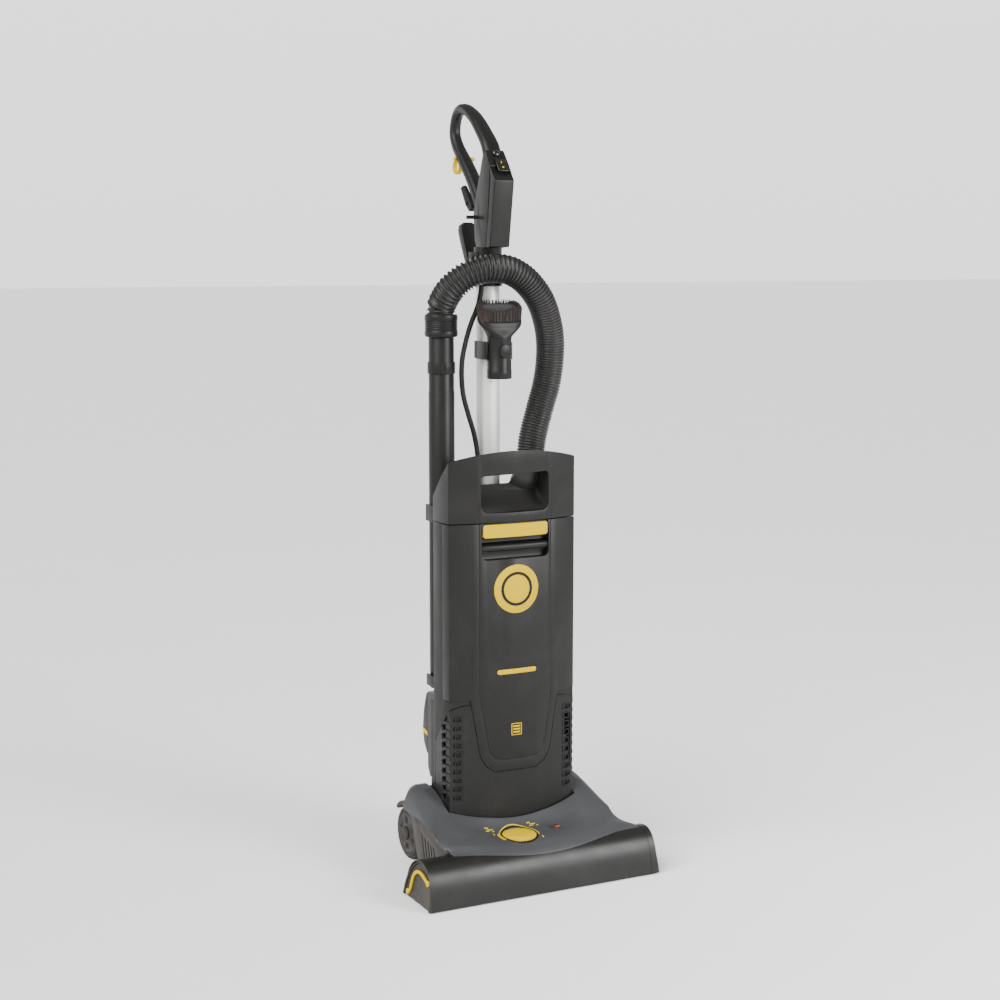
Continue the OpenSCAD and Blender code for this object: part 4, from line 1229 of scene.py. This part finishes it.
def shoulders():
    """The shoulders below the cover's dome, with a curved fender over each wheel."""
    outline = arc(WHEEL_Y, WHEEL_Z, 53.5, range(-22, 47, 4))
    outline += arc(WHEEL_Y, WHEEL_Z, 46, range(46, -23, -4))
    for side, hand in SIDES:
        obj = copy_of("shoulder_" + hand)
        cut(obj, solid(rect(31, 120, 96, 170), "x", -170, 170))
        cut(obj, solid(rect(62, 115, 85, 110), "x", -170, 170))
        stands_for(obj, "shoulder_" + hand, 0.6)
        fender = solid(outline, "x", *span(side, 106, 131), "fender_" + hand)
        bevel(fender, 2.4, 3, 50)
        dress(fender, "stone_plastic", "floor_head")


def pivot_caps():
    """Caps over the pivot; the right-hand one also covers the end of the drive shaft."""
    for (side, hand), out in zip(SIDES, (0, 11.4)):
        profile = [(17, -0.6), (17, 1.6 + out), (15.6, 2.8 + out), (6, 3.4 + out), (0, 3.4 + out)]
        cap = turned(profile, (0, 0, 0), "x", 40, "pivot_cap_" + hand)
        dress(mirrored_to(cap, side, 118.5, PIVOT_Y, PIVOT_Z), "slate_plastic", "floor_head")


def drum():
    """The drum, cut back behind the domes, and the sill that closes the body over it."""
    obj = copy_of("neck_drum")
    cut(obj, solid(rect(-30, 100, DRUM_TOP, 170), "x", -120, 120))
    behind_dome = arc(PIVOT_Y, PIVOT_Z, 34, range(-20, 91, 5))
    behind_dome += [(120, PIVOT_Z), (120, 170), (PIVOT_Y - 11.6, 170)]
    for side, _ in SIDES:
        cut(obj, solid(behind_dome, "x", *span(side, 78, 125)))
    stands_for(obj, "neck_drum", 1.0)
    sill = solid(rect(45.8, 48.8, 133, 160), "x", -96, 96, "rear_sill")
    dress(sill, "charcoal_plastic", "upright")


def hose_hook():
    obj = copy_of("hose_hook")
    cut(obj, solid(rect(-30, 30, -40, 70), "z", 910, 929))
    stands_for(obj, "hose_hook", 0.8)


def remaining_pieces():
    for node, width in EDGES.items():
        stands_for(copy_of(node), node, width, 3 if width >= 2 else 2,
                   smooth=70 if node == "handle_loop" else 32)
    for node, obj in NODES.items():
        if not obj.hide_render:
            obj.data.materials.clear()
            obj.data.materials.append(SLOT_MATERIAL[SLOT_OF[node]])


shoulders()
pivot_caps()
drum()
hose_hook()
remaining_pieces()

# ---- stage ----------------------------------------------------------------------


def stage_material(name, color):
    mat, tree, bsdf = material(name, Roughness=0.9, Specular_IOR_Level=0.1)
    tree.links.new(ramp(tree, noise(tree, 3), (0.3, scaled(color, 0.985)), (0.7, color)),
                   bsdf.inputs["Base Color"])
    return mat


bpy.ops.mesh.primitive_plane_add(size=90, location=(0, 0, 0))
floor = bpy.context.object
floor.name = "floor"
floor.data.materials.append(stage_material("floor_pale", (0.96, 0.96, 0.96)))

# a bright horizon under a dimmer sky
world = bpy.data.worlds.new("studio")
world.use_nodes = True
sky = world.node_tree
height = add(sky, "SeparateXYZ")
sky.links.new(add(sky, "TexCoord").outputs["Generated"], height.inputs[0])
glow = ramp(sky, height.outputs["Z"], (0.0, 0.84), (0.16, 0.90), (0.42, 0.16), (1.0, 0.22))
sky.links.new(glow, sky.nodes["Background"].inputs["Color"])
sky.nodes["Background"].inputs["Strength"].default_value = 2.2
bpy.context.scene.world = world


def aimed(name, kind, at, target, **settings):
    """A light at a place in metres, turned to face a target."""
    data = bpy.data.lights.new(name, kind)
    for key, value in settings.items():
        setattr(data, key, value)
    obj = bpy.data.objects.new(name, data)
    obj.location = at
    obj.rotation_euler = (Vector(target) - Vector(at)).to_track_quat("-Z", "Y").to_euler()
    bpy.context.scene.collection.objects.link(obj)


# a broad light from the upper left, and a small one from the front right for the hood
aimed("overhead", "AREA", (1.35, -2.3, 1.5), (0, -0.1, 0.1), energy=90, size=1.2)
aimed("daylight", "SUN", (-7.2, -2.6, 6.5), (0, 0, 0), energy=5.0, angle=math.radians(50))
